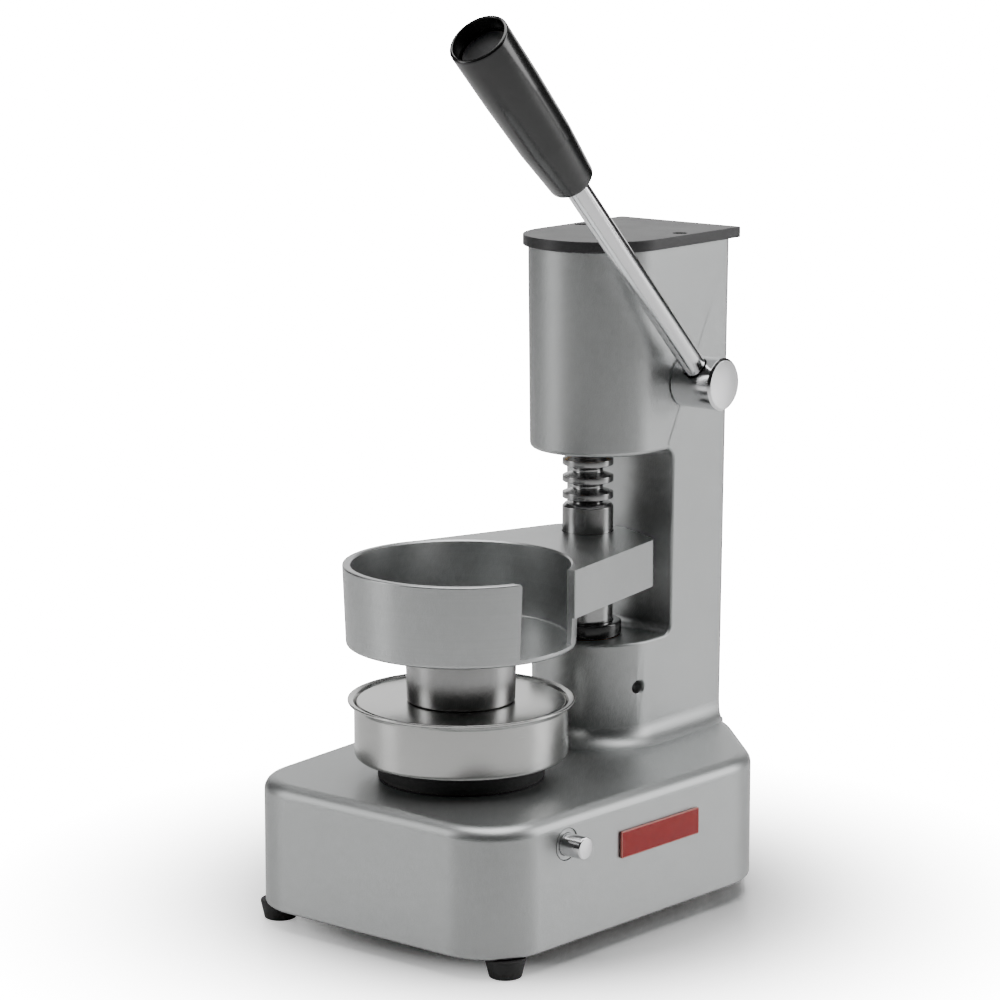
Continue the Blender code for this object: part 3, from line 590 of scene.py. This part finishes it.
FOOT_HALF_WIDTH = 32.5 * MM
HEAD_SPREAD = 2.3 * MM
HEAD_FROM, HEAD_TO = 225 * MM, 310 * MM


def column_half_width(z):
    """65 mm wide at the foot and wider at the head. The loft runs straight between the rings it samples."""
    share = min(max((z - HEAD_FROM) / (HEAD_TO - HEAD_FROM), 0), 1)
    return FOOT_HALF_WIDTH + HEAD_SPREAD * share


def column_outline(half, flare=0.0, steps=24):
    """A half-round front, flat sides and a square rear. The flare fades out at the rear corners."""
    corner = 5 * MM
    front = [
        (half * math.cos(angle), COLUMN_NOSE_Y + half * math.sin(angle))
        for angle in (math.pi + math.pi * step / steps for step in range(steps + 1))
    ]
    sides = [(half, COLUMN_NOSE_Y + (COLUMN_REAR - corner - COLUMN_NOSE_Y) * step / 4) for step in (1, 2, 3)]
    arc = [math.pi / 2 * step / 5 for step in range(6)]
    rear = COLUMN_REAR - corner
    right = sides + [(half - corner + corner * math.cos(t), rear + corner * math.sin(t)) for t in arc]
    plain = front + right + [(-x, y) for x, y in reversed(right)]
    spread = []
    for x, y in plain:
        away = Vector((x, min(y - COLUMN_NOSE_Y, 0)))
        fade = min(max((COLUMN_REAR - y) / (14 * MM), 0), 1)
        away = away.normalized() * flare * fade
        spread.append((x + away.x, y + away.y))
    return spread


def column_solid():
    sunk = 0.05 * MM
    heights = [(60 * MM, FOOT_FILLET)]
    for step in range(11):
        rise = FOOT_FILLET * (1 - math.cos(math.pi / 2 * step / 10))
        flare = FOOT_FILLET * (1 - math.sin(math.pi / 2 * step / 10))
        heights.append((BASE_TOP - sunk + rise, flare))
    heights += [(HEAD_TO, 0), (COLUMN_TOP, 0)]
    loops = []
    for z, flare in heights:
        loops.append([(x, y, z) for x, y in column_outline(column_half_width(z), flare)])
    return loft("column", loops)


def throat_solid():
    front = COLUMN_NOSE_Y - 60 * MM
    corner = 5 * MM
    side = [
        (front, THROAT_BOTTOM, 0),
        (THROAT_REAR, THROAT_BOTTOM, corner),
        (THROAT_REAR, THROAT_TOP, corner),
        (front, THROAT_TOP, 0),
    ]
    return prism("throat", rounded(side, 6), -60 * MM, 60 * MM, ON_ITS_SIDE)


# %% Cut and round the casting
def casting():
    column = cut(column_solid(), throat_solid())

    def weight(spot):
        if spot.z > THROAT_TOP - MM and spot.z < THROAT_TOP + MM:
            return 1.0
        if THROAT_BOTTOM - MM < spot.z < THROAT_TOP:
            return 0.5
        if spot.z > COLUMN_TOP - MM:
            return 0.12
        return 0.0

    soften(column, 2.4 * MM, weight, clamped=False)
    whole = join_on(base_solid(), column)
    whole.name = "cast_body"
    hollow = prism("hollow", base_outline(WALL), -10 * MM, 66 * MM)
    cut(whole, hollow)
    inner = [(x, y) for x, y in column_outline(27.5 * MM)]
    inner = [(x, min(y, COLUMN_REAR - WALL)) for x, y in inner]
    under = prism("under_plinth", inner, 60 * MM, 95 * MM)
    spine_low = (-26 * MM, THROAT_REAR + WALL, 55 * MM)
    spine_high = (26 * MM, COLUMN_REAR - 1.3 * WALL, 245 * MM)
    spine = box("spine", spine_low, spine_high)
    head = prism("head_room", [(x * 1.01, y) for x, y in inner], 233 * MM, 330 * MM)
    cut(whole, under)
    cut(whole, spine)
    cut(whole, head)
    gear_low = (-8.5 * MM, RAM_Y + 10 * MM, 222.5 * MM)
    cut(whole, box("gear_room", gear_low, (8.5 * MM, THROAT_REAR + 10 * MM, 240 * MM)))
    cut(whole, bar("upper_bore", 16.3 * MM, 212 * MM, 238 * MM, ON_RAM))
    cut(whole, bar("lower_bore", 16.3 * MM, 90 * MM, 128 * MM, ON_RAM))
    cut(whole, bar("spigot_bore", 22 * MM, 60 * MM, 80 * MM, ON_PRESS))
    cut(whole, bar("axle_bore", 11.3 * MM, -45 * MM, 45 * MM, ON_HUB))
    side_hole = Matrix.Translation((0, RAM_Y, 100.7 * MM)) @ ALONG_X
    steps = [(0, 45), (4.6, 45), (4.6, 32.3), (3.3, 31.2), (3.3, 10), (0, 10)]
    profile = [(radius * MM, out * MM, 0) for radius, out in steps]
    cut(whole, lathe("side_hole", profile, side_hole, 32))
    cut(whole, bar("knob_bore", 7.8 * MM, 60 * MM, 95 * MM, ON_BUTTON))
    return show(even_shading(whole), CASTING, "frame", "body_casting")


casting()

# %% [markdown]
# ## Arm and cup
# The arm is milled from the same alloy as the cup, and both are one piece. The cup's wall is cut
# away on the lever's side, so that fingers can lift the papers out. Its rim and the edges of that
# slot are broken by a small chamfer that shines.

# %% Arm and cup
ARM_LOW, ARM_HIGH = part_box("carrier_arm")
ARM_TOP = ARM_HIGH.z
ARM_BOTTOM = 152.8 * MM
CUP_BOTTOM = ARM_LOW.z
CUP_R, CUP_INNER_R = 55.9 * MM, 52.4 * MM
CUP_FLOOR = 139.5 * MM
SLOT_HALF = 19.3 * MM


def arm_outline():
    corners = [
        (-20, -10, 0),
        (30, 0, 0),
        (53.5, 19.6, 0),
        (39.5, 101.5, 8),
        (2, 119, 25),
        (-21.5, 103, 14),
        (-49, 26.5, 0),
    ]
    return rounded([(x * MM, y * MM + PRESS_Y, radius * MM) for x, y, radius in corners], 8)


def arm_and_cup():
    arm = prism("arm_and_cup", arm_outline(), ARM_BOTTOM, ARM_TOP)
    top, low = ARM_TOP + 0.03 * MM, CUP_BOTTOM
    shell = [(0, top, 0), (CUP_R + 0.4 * MM, top, 0.8 * MM), (CUP_R - 1.1 * MM, low, 1.6 * MM), (0, low, 0)]
    join_on(arm, lathe("cup_shell", shell, ON_PRESS, 128))
    flare = 0.7 * MM
    inside = [(0, 190 * MM, 0), (CUP_INNER_R + flare, 190 * MM, 0), (CUP_INNER_R + flare, ARM_TOP, 0)]
    inside += [(CUP_INNER_R, ARM_TOP - flare, 0), (CUP_INNER_R, CUP_FLOOR, 1.2 * MM), (0, CUP_FLOOR, 0)]
    cut(arm, lathe("cup_inside", inside, ON_PRESS, 128))
    y0, y1, z0 = PRESS_Y - SLOT_HALF, PRESS_Y + SLOT_HALF, CUP_FLOOR + 0.3 * MM
    notch = [(y0 - 10 * MM, 190 * MM, 0), (y0 - 10 * MM, top, 0), (y0, top, 2 * MM), (y0, z0, 0)]
    notch += [(y1, z0, 0), (y1, 190 * MM, 0)]
    cut(arm, prism("slot", rounded(notch, 6), 36 * MM, 70 * MM, ON_ITS_SIDE))
    cut(arm, bar("ram_bore", 12.95 * MM, 140 * MM, 190 * MM, ON_RAM, 64))
    cut(arm, bar("neck_bore", 3.3 * MM, 130 * MM, 150 * MM, ON_PRESS, 32))
    screw_hole = Matrix.Translation((0, RAM_Y, 164 * MM)) @ ALONG_X
    cut(arm, bar("screw_hole", 3.4 * MM, -50 * MM, -12 * MM, screw_hole, 32))

    def weight(spot):
        to_ram = Vector((spot.x, spot.y - RAM_Y)).length
        to_press = Vector((spot.x, spot.y - PRESS_Y)).length
        if to_ram < 14 * MM or to_press < 5 * MM:
            return 0.25
        if spot.z < CUP_FLOOR + MM and to_press < CUP_INNER_R + MM:
            return 0.0
        if to_press < CUP_R + 0.8 * MM:
            return 0.35
        return 1.0

    return show(soften(arm, 0.9 * MM, weight, 3), ARM, "ram", "carrier_arm")


arm_and_cup()

# %% [markdown]
# ## Turned pieces
# A profile is listed from the axis at the top, down the outer side, and back to the axis. The third
# number of each corner is its radius: a chamfer that a file leaves, or the bend of a pressed sheet.

# %% Ram
def rack_corners():
    """Round rack: ridges one pitch apart. They are the teeth that the pinion pushes."""
    pitch, ridge_r, root_r = 8.3 * MM, 12.65 * MM, 7.5 * MM
    tip_half, root_half = 1.45 * MM, 3.1 * MM
    drop = 2.3 * MM
    corners = [(0, 283.5 * MM, 0), (root_r, 283.5 * MM, 0.8 * MM)]
    for ridge in range(3, -8, -1):
        z = LEVER_Z - drop + (ridge + 0.5) * pitch
        corners += [(root_r, z + root_half, 0.8 * MM), (ridge_r, z + tip_half, 0.25 * MM)]
        corners += [(ridge_r, z - tip_half, 0.25 * MM), (root_r, z - root_half, 0.8 * MM)]
    shoulder = 190.2 * MM
    corners += [(root_r, shoulder, 0.3 * MM), (11.2 * MM, shoulder, 0.2 * MM)]
    corners += [(ridge_r, shoulder - 1.5 * MM, 0.3 * MM)]
    corners += [(ridge_r, 60 * MM, 0.8 * MM), (6 * MM, 60 * MM, 0.4 * MM), (6 * MM, 27.5 * MM, 0.5 * MM)]
    return corners + [(0, 27.5 * MM, 0)]


show(lathe("ram", rack_corners(), ON_RAM, 96, 3), SHAFT, "ram", "rack_shaft")

bumper = [(17, 130.8, 0.9), (17, 123.9, 0.6), (13, 123.9, 0.3), (13, 130.8, 0.4)]
show(lathe("bumper", in_mm(bumper), ON_RAM), GRIP_BLACK, "frame", "ram_bumper")

# %% Neck and press plate
neck = [(26.7, 136.8, 0.5), (25.9, 109.5, 0.8), (3.2, 109.5, 0.2), (3.2, 136.8, 0.2)]
show(lathe("neck", in_mm(neck), ON_PRESS, 128), PLAIN_STEEL, "ram", "press_neck")

plate = [(50, 109.2, 0.8), (50, 103.5, 0.8), (7.5, 103.5, 0.3), (7.5, 106.5, 0.3)]
plate += [(3.2, 106.5, 0.2), (3.2, 109.2, 0.2)]
show(lathe("press_disc", in_mm(plate), ON_PRESS, 128), SHEET, "ram", "press_plate")

# %% [markdown]
# The mould is a pan pressed from sheet: its wall bends into the floor over a generous radius, and its lip
# rolls outwards.
# It stands on a disc that locks into the base, in the darkest black finish: that black is partly the disc's
# own colour and partly painted shade for the dark gap under the pan.

# %% Mould
pan = [
    (54.4, 110.5, 0.5),
    (54.2, 108.9, 0.7),
    (51.9, 108.3, 0.9),
    (51.2, 106.6, 0.8),
    (51.2, 82.3, 2.4),
    (4.3, 82.3, 0.2),
    (4.3, 83.8, 0.2),
    (50.3, 83.8, 1.0),
    (50.3, 107.3, 1.2),
    (51.6, 109.6, 0.8),
]
show(lathe("pan", [tuple(v * MM for v in c) for c in pan], ON_PRESS, 128, 5), SHEET, "frame", "mould_pan")

support = [
    (40, 82.0, 1.0),
    (40, 72.3, 0.6),
    (20.1, 72.3, 0.5),
    (20.1, 61.5, 0.2),
    (19.2, 61.3, 0.2),
    (19.2, 54.7, 0.2),
    (20.1, 54.5, 0.2),
    (20.1, 52.5, 0.8),
    (4.3, 52.5, 0.3),
    (4.3, 82.0, 0.3),
]
# Partly painted shade: the disc takes matt black rubber so that it reads as the dark gap under the pan.
show(lathe("support_disc", in_mm(support), ON_PRESS, 96), RUBBER, "frame", "mould_support")

ejector = [(49.8, 92.1, 0.5), (49.8, 89.1, 0.5), (3.3, 89.1, 0.1), (3.3, 92.1, 0.1)]
show(lathe("ejector_plate", in_mm(ejector), ON_PRESS, 128), SHEET, "ejector", "ejector_disc")

# %% [markdown]
# ## Lever
# The hub is a chromed cylinder with a disc-shaped end and a bright chamfer. The rod sits in a
# hollow milled into the hub's side. The grip is wider at the top, with a deep recess in its end.

# %% Hub and rod
hub = [
    (0, 58.0, 0),
    (11.8, 58.0, 0.2),
    (13.0, 56.9, 0.2),
    (12.9, 34.9, 0.3),
    (11.9, 34.2, 0.2),
    (8.3, 34.2, 0.1),
    (8.3, 40.6, 0.1),
    (0, 40.6, 0),
]
hub_piece = lathe("hub", [tuple(v * MM for v in c) for c in hub], ON_HUB, 128)
cut(hub_piece, bar("rod_seat", 6.3 * MM, 1.5 * MM, 30 * MM, ON_LEVER, 48))
hub_piece.data.shade_smooth()
hub_piece.data.set_sharp_from_angle(angle=math.radians(32))
show(hub_piece, HUB_CHROME, "lever", "lever_hub")

rod = [(0, 200, 0), (5.7, 200, 0.6), (5.7, 1.8, 1.2), (0, 1.8, 0)]
show(lathe("rod", [tuple(v * MM for v in c) for c in rod], ON_LEVER, 64), ROD_CHROME, "lever", "lever_rod")

# %% Grip
grip = [
    (14.5, 248.5, 1.3),
    (14.2, 215.0, 30),
    (13.2, 181.0, 30),
    (10.9, 151.0, 2.6),
    (6.0, 151.0, 0.4),
    (6.0, 201.5, 0.2),
    (12.2, 203.5, 0.2),
    (12.7, 248.5, 0.5),
]
show(lathe("grip", in_mm(grip), ON_LEVER, 96, 6), GRIP_BLACK, "lever", "lever_grip")
cap = [(0, 241.0, 0), (11.9, 241.0, 0.6), (11.9, 204.0, 0.4), (0, 204.0, 0)]
show(lathe("grip_plug", in_mm(cap), ON_LEVER, 64), COVER_BLACK, "lever", "grip_end_cap")

# %% Release knob
knob = [
    (0, 92.9, 0),
    (5.3, 92.9, 0.6),
    (5.3, 71.2, 0.2),
    (6.6, 71.2, 0.2),
    (6.6, 69.2, 0.2),
    (3.0, 69.2, 0.2),
    (3.0, 15.8, 0.3),
    (2.2, 15.2, 0.2),
    (2.2, 5.6, 0.2),
    (3.0, 5.0, 0.3),
    (3.0, -1.5, 0.5),
    (0, -1.5, 0),
]
show(lathe("knob", in_mm(knob), ON_BUTTON, 64), KNOB_CHROME, "button", "release_button")

# %% [markdown]
# ## Cover and plate
# The cover is a flat moulding that overhangs the head all round. The plate on the base is blank
# red enamel.

# %% Cover
COVER_LOW, COVER_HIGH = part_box("top_cover")


def cover():
    outline = []
    overhang = 4 * MM
    half = 33.5 * MM + overhang
    rear = COVER_HIGH.y
    corner = 2 * MM
    for step in range(41):
        angle = math.pi + math.pi * step / 40
        outline.append((half * math.cos(angle), COLUMN_NOSE_Y + half * math.sin(angle)))
    for step in range(6):
        turn = math.pi / 2 * step / 5
        outline.append((half - corner + corner * math.cos(turn), rear - corner + corner * math.sin(turn)))
    for step in range(6):
        turn = math.pi / 2 * (1 - step / 5)
        outline.append((-half + corner - corner * math.cos(turn), rear - corner + corner * math.sin(turn)))
    piece = prism("cover", outline, COVER_LOW.z, COVER_HIGH.z)
    for side in ("left", "right"):
        spot = middle(f"cover_screw_{side}")
        hole = Matrix.Translation((spot.x, spot.y, 0))
        cut(piece, bar(f"sink_{side}", 3.6 * MM, COVER_HIGH.z - 2.5 * MM, 340 * MM, hole, 32))
        cut(piece, bar(f"screw_way_{side}", 1.8 * MM, 300 * MM, 340 * MM, hole, 24))
    return show(soften(piece, 0.5 * MM, lambda spot: 1.0, 3), COVER_BLACK, "frame", "top_cover")


cover()

# %% Red plate
def red_plate():
    low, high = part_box("name_plate")
    slope = (BASE_REAR_HALF - BASE_FRONT_HALF) / (BASE_SIDE_END - BASE_LOW.y)
    thick, corner = 1.0 * MM, 0.8 * MM
    signs = ((-1, -1), (1, -1), (1, 1), (-1, 1))
    corners = [(x * PLATE_HALF_LONG, y * PLATE_HALF_HIGH, corner) for x, y in signs]
    piece = prism("red_plate", rounded(corners, 4), 0, thick)
    soften(piece, 0.25 * MM, lambda spot: 1.0, 2)
    uv = piece.data.uv_layers.new(name="plate")
    for loop in piece.data.loops:
        spot = piece.data.vertices[loop.vertex_index].co
        uv.data[loop.index].uv = (spot.x / PLATE_HALF_LONG, spot.y / PLATE_HALF_HIGH)
    centre = (low + high) / 2 - Vector((0, 2 * MM, 0))
    turn = Matrix.Rotation(-math.atan(slope), 4, "Z")
    outwards = turn @ Vector((1, 0, 0)) * (thick / 2)
    piece.data.transform(Matrix.Translation(centre - outwards) @ turn @ ON_ITS_SIDE)
    return show(piece, ENAMEL, "frame", "name_plate")


red_plate()

# %% [markdown]
# ## Feet, screws and the spring
# These repeat or follow a curve, so Geometry Nodes make them. One tree puts a copy of a turned
# piece on every point that it is given. Another winds a spiral and gives it a round section. Each
# ends by realising its copies and setting the finish.

# %% A Geometry Nodes tree for copies on points
def copies_tree():
    tree = bpy.data.node_groups.new("copies_on_points", "GeometryNodeTree")
    face = tree.interface
    face.new_socket("Points", in_out="INPUT", socket_type="NodeSocketGeometry")
    face.new_socket("Piece", in_out="INPUT", socket_type="NodeSocketObject")
    face.new_socket("Finish", in_out="INPUT", socket_type="NodeSocketMaterial")
    face.new_socket("Copies", in_out="OUTPUT", socket_type="NodeSocketGeometry")
    given = tree.nodes.new("NodeGroupInput")
    info = tree.nodes.new("GeometryNodeObjectInfo")
    on_points = tree.nodes.new("GeometryNodeInstanceOnPoints")
    real = tree.nodes.new("GeometryNodeRealizeInstances")
    paint = tree.nodes.new("GeometryNodeSetMaterial")
    out = tree.nodes.new("NodeGroupOutput")
    link = tree.links.new
    link(given.outputs["Points"], on_points.inputs["Points"])
    link(given.outputs["Piece"], info.inputs["Object"])
    link(info.outputs["Geometry"], on_points.inputs["Instance"])
    link(on_points.outputs["Instances"], real.inputs["Geometry"])
    link(real.outputs["Geometry"], paint.inputs["Geometry"])
    link(given.outputs["Finish"], paint.inputs["Material"])
    link(paint.outputs["Geometry"], out.inputs["Copies"])
    return tree


COPIES = copies_tree()


def socket_id(tree, name):
    sockets = (item for item in tree.interface.items_tree if item.item_type == "SOCKET")
    return next(item.identifier for item in sockets if item.name == name and item.in_out == "INPUT")


def copies(name, pattern, spots, finish, body, nodes):
    """One copy of the pattern piece at each spot, as one plain mesh on one body."""
    mesh = bpy.data.meshes.new(name)
    mesh.from_pydata([tuple(spot) for spot in spots], [], [])
    piece = bpy.data.objects.new(name, mesh)
    bpy.context.scene.collection.objects.link(piece)
    maker = piece.modifiers.new("copies", "NODES")
    maker.node_group = COPIES
    maker[socket_id(COPIES, "Piece")] = pattern
    maker[socket_id(COPIES, "Finish")] = finish.material
    baked(piece)
    bpy.data.objects.remove(pattern, do_unlink=True)
    piece.data.shade_smooth()
    piece.data.set_sharp_from_angle(angle=math.radians(32))
    return show(piece, finish, body, *nodes)


# %% Feet and screws
ENDS = ("front_left", "front_right", "rear_left", "rear_right")
foot_spots = [Vector((*middle(f"foot_{end}").xy, 0)) for end in ENDS]
foot = [(9.4, 9.2, 0.4), (9.4, 8.0, 0.6), (7.6, 0, 0.7), (4.3, 0, 0.4)]
foot += [(4.3, 4.5, 0.2), (2.3, 4.5, 0.2), (2.3, 9.2, 0.2)]
foot_pattern = lathe("foot_pattern", [tuple(v * MM for v in c) for c in foot], Matrix.Identity(4), 48)
copies("feet", foot_pattern, foot_spots, RUBBER, "frame", [f"foot_{end}" for end in ENDS])


def cross_head(name, head_r, head_bottom, head_top, shank_r, shank_end, steps=40):
    """A pan-headed screw with a cross recess. The head may point up or down."""
    up = head_top > head_bottom
    corners = [(0, head_top, 0), (head_r, head_top, 0.6 * MM), (head_r, head_bottom, 0.2 * MM)]
    corners += [(shank_r, head_bottom, 0.1 * MM), (shank_r, shank_end, 0.3 * MM), (0, shank_end, 0)]
    piece = lathe(name, corners, Matrix.Identity(4), steps)
    arm, half, deep = head_r * 0.62, head_r * 0.13, 1.1 * MM
    low, high = (head_top - deep, head_top + MM) if up else (head_top - MM, head_top + deep)
    cut(piece, box("cross_a", (-arm, -half, low), (arm, half, high)))
    cut(piece, box("cross_b", (-half, -arm, low), (half, arm, high)))
    return piece


foot_screw = cross_head("foot_screw_pattern", 3.8 * MM, 4.2 * MM, 1.6 * MM, 2.0 * MM, 30 * MM)
copies("foot_screws", foot_screw, foot_spots, PLAIN_STEEL, "frame", [f"foot_screw_{end}" for end in ENDS])

cover_spots = [Vector((*middle(f"cover_screw_{side}").xy, 0)) for side in ("left", "right")]
cover_head = COVER_HIGH.z
cover_screw = cross_head(
    "cover_screw_pattern", 3.3 * MM, cover_head - 2.2 * MM, cover_head - 0.5 * MM,
    1.5 * MM, cover_head - 15 * MM
)
screw_nodes = ["cover_screw_left", "cover_screw_right"]
copies("cover_screws", cover_screw, cover_spots, COVER_BLACK, "frame", screw_nodes)

# %% Button spring
def coil_tree():
    tree = bpy.data.node_groups.new("coil", "GeometryNodeTree")
    face = tree.interface
    face.new_socket("Input", in_out="INPUT", socket_type="NodeSocketGeometry")
    for name in ("Turns", "Radius", "Length", "Wire"):
        face.new_socket(name, in_out="INPUT", socket_type="NodeSocketFloat")
    face.new_socket("Finish", in_out="INPUT", socket_type="NodeSocketMaterial")
    face.new_socket("Coil", in_out="OUTPUT", socket_type="NodeSocketGeometry")
    given = tree.nodes.new("NodeGroupInput")
    spiral = tree.nodes.new("GeometryNodeCurveSpiral")
    spiral.inputs["Resolution"].default_value = 32
    section = tree.nodes.new("GeometryNodeCurvePrimitiveCircle")
    section.inputs["Resolution"].default_value = 12
    sweep = tree.nodes.new("GeometryNodeCurveToMesh")
    sweep.inputs["Fill Caps"].default_value = True
    paint = tree.nodes.new("GeometryNodeSetMaterial")
    real = tree.nodes.new("GeometryNodeRealizeInstances")
    out = tree.nodes.new("NodeGroupOutput")
    link = tree.links.new
    link(given.outputs["Turns"], spiral.inputs["Rotations"])
    link(given.outputs["Radius"], spiral.inputs["Start Radius"])
    link(given.outputs["Radius"], spiral.inputs["End Radius"])
    link(given.outputs["Length"], spiral.inputs["Height"])
    link(given.outputs["Wire"], section.inputs["Radius"])
    link(spiral.outputs["Curve"], sweep.inputs["Curve"])
    link(section.outputs["Curve"], sweep.inputs["Profile Curve"])
    link(sweep.outputs["Mesh"], real.inputs["Geometry"])
    link(real.outputs["Geometry"], paint.inputs["Geometry"])
    link(given.outputs["Finish"], paint.inputs["Material"])
    link(paint.outputs["Geometry"], out.inputs["Coil"])
    return tree


def button_spring():
    low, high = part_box("button_spring")
    tree = coil_tree()
    piece = bpy.data.objects.new("knob_spring", bpy.data.meshes.new("knob_spring"))
    bpy.context.scene.collection.objects.link(piece)
    maker = piece.modifiers.new("coil", "NODES")
    maker.node_group = tree
    wire = 0.5 * MM
    sizes = {"Turns": 7.0, "Radius": 4.6 * MM, "Length": high.x - low.x - 2 * wire, "Wire": wire}
    for name, value in sizes.items():
        maker[socket_id(tree, name)] = value
    maker[socket_id(tree, "Finish")] = PLAIN_STEEL.material
    baked(piece)
    place = Matrix.Translation((low.x + wire, BUTTON_Y, BUTTON_Z)) @ ALONG_X
    piece.data.transform(place)
    piece.data.shade_smooth()
    return show(piece, PLAIN_STEEL, "frame", "button_spring")


button_spring()

# %% [markdown]
# ## The mechanism inside
# The pinion, the bushes and the ejector's rocker sit inside the casting. Their working shapes are
# right as they are, so they only get a finish.

# %% Finishes for the carried-over parts
CARRIED = {
    PLAIN_STEEL: ("rocker_bracket", "rocker_pin", "tail_collar", "arm_screw", "plate_screw", "neck_screw",
                  "pinion", "pinion_axle", "pinion_pin", "hub_screw", "ejector_rocker", "ejector_rod",
                  "friction_screw"),
    BRONZE: ("upper_guide_bush", "lower_guide_bush", "axle_bush_left", "axle_bush_right"),
    CASTING: ("button_bush",),
    SHEET: ("bottom_plate",),
}
for finish, names in CARRIED.items():
    for name in names:
        node = frame["nodes"][name]
        node.data.materials.clear()
        node.data.materials.append(finish.material)
print("carried over:", sum(len(names) for names in CARRIED.values()))

# %% [markdown]
# ## Floor and light
# The floor is one pale sheet. A broad soft light hangs above, a long one stands at each side, and
# the sky is dim enough towards the viewer that round metal shows dark and bright bands.

# %% Floor
bpy.ops.mesh.primitive_plane_add(size=120)
floor = bpy.context.object
floor.name = "floor"


def pale_floor():
    """White, and glowing to the camera alone, more the farther from the machine: the glow is painted light,
    and the darker ring that it leaves round the machine is painted shade.
    """
    white = bpy.data.materials.new("pale_floor")
    white.use_nodes = True
    nodes, link = white.node_tree.nodes, white.node_tree.links.new
    shader = nodes["Principled BSDF"]
    shader.inputs["Base Color"].default_value = (0.86, 0.86, 0.86, 1)
    shader.inputs["Roughness"].default_value = 0.30
    shader.inputs["Emission Color"].default_value = (1, 1, 1, 1)
    spot = nodes.new("ShaderNodeNewGeometry")
    away = nodes.new("ShaderNodeVectorMath")
    away.operation = "LENGTH"
    fade = nodes.new("ShaderNodeMapRange")
    fade.interpolation_type = "SMOOTHSTEP"
    fade.inputs["From Min"].default_value = 0.10
    fade.inputs["From Max"].default_value = 0.36
    fade.inputs["To Max"].default_value = 20.0
    # Painted light and shade: emission that only the camera sees, faded out near the machine.
    seen = nodes.new("ShaderNodeLightPath")
    painted_glow = nodes.new("ShaderNodeMath")
    painted_glow.operation = "MULTIPLY"
    link(spot.outputs["Position"], away.inputs[0])
    link(away.outputs["Value"], fade.inputs["Value"])
    link(fade.outputs["Result"], painted_glow.inputs[0])
    link(seen.outputs["Is Camera Ray"], painted_glow.inputs[1])
    link(painted_glow.outputs["Value"], shader.inputs["Emission Strength"])
    return white


floor.data.materials.append(pale_floor())


# %% Lights
def soft_light(name, place, target, size, power):
    light = bpy.data.objects.new(name, bpy.data.lights.new(name, "AREA"))
    bpy.context.scene.collection.objects.link(light)
    light.data.shape = "RECTANGLE"
    light.data.size, light.data.size_y = size
    light.data.energy = power
    light.location = place
    aim = Vector(target) - Vector(place)
    light.rotation_euler = aim.to_track_quat("-Z", "Y").to_euler()
    light.visible_camera = False
    return light


soft_light("above", (0.0, 0.2, 2.4), (0, 0, 0.1), (2.2, 2.2), 75)
soft_light("right_back", (1.7, 1.7, 1.0), (0, 0, 0.25), (1.0, 1.8), 30)
soft_light("left_front", (-1.6, -1.7, 1.0), (0, 0, 0.25), (0.8, 1.8), 18)
soft_light("far_side", (-1.35, 1.7, 0.65), (0, 0, 0.15), (2.6, 1.1), 13)

# %% Sky
VIEWER_SIDE = (0.62, -0.78, 0.0)


def studio_sky():
    """A room that is dark on the viewer's side and grows lighter round to the far side."""
    sky = bpy.data.worlds.new("studio")
    sky.use_nodes = True
    nodes, link = sky.node_tree.nodes, sky.node_tree.links.new
    back = nodes["Background"]
    where = nodes.new("ShaderNodeTexCoord")
    along = nodes.new("ShaderNodeVectorMath")
    along.operation = "DOT_PRODUCT"
    along.inputs[1].default_value = VIEWER_SIDE
    fade = nodes.new("ShaderNodeMapRange")
    fade.interpolation_type = "SMOOTHSTEP"
    for name, value in {"From Min": -0.2, "From Max": 0.95, "To Min": 0.75, "To Max": 0.16}.items():
        fade.inputs[name].default_value = value
    link(where.outputs["Generated"], along.inputs[0])
    link(along.outputs["Value"], fade.inputs["Value"])
    link(fade.outputs["Result"], back.inputs["Strength"])
    return sky


bpy.context.scene.world = studio_sky()

# %% Sizes
def plain(bounds):
    return [list(map(float, corner)) for corner in bounds]
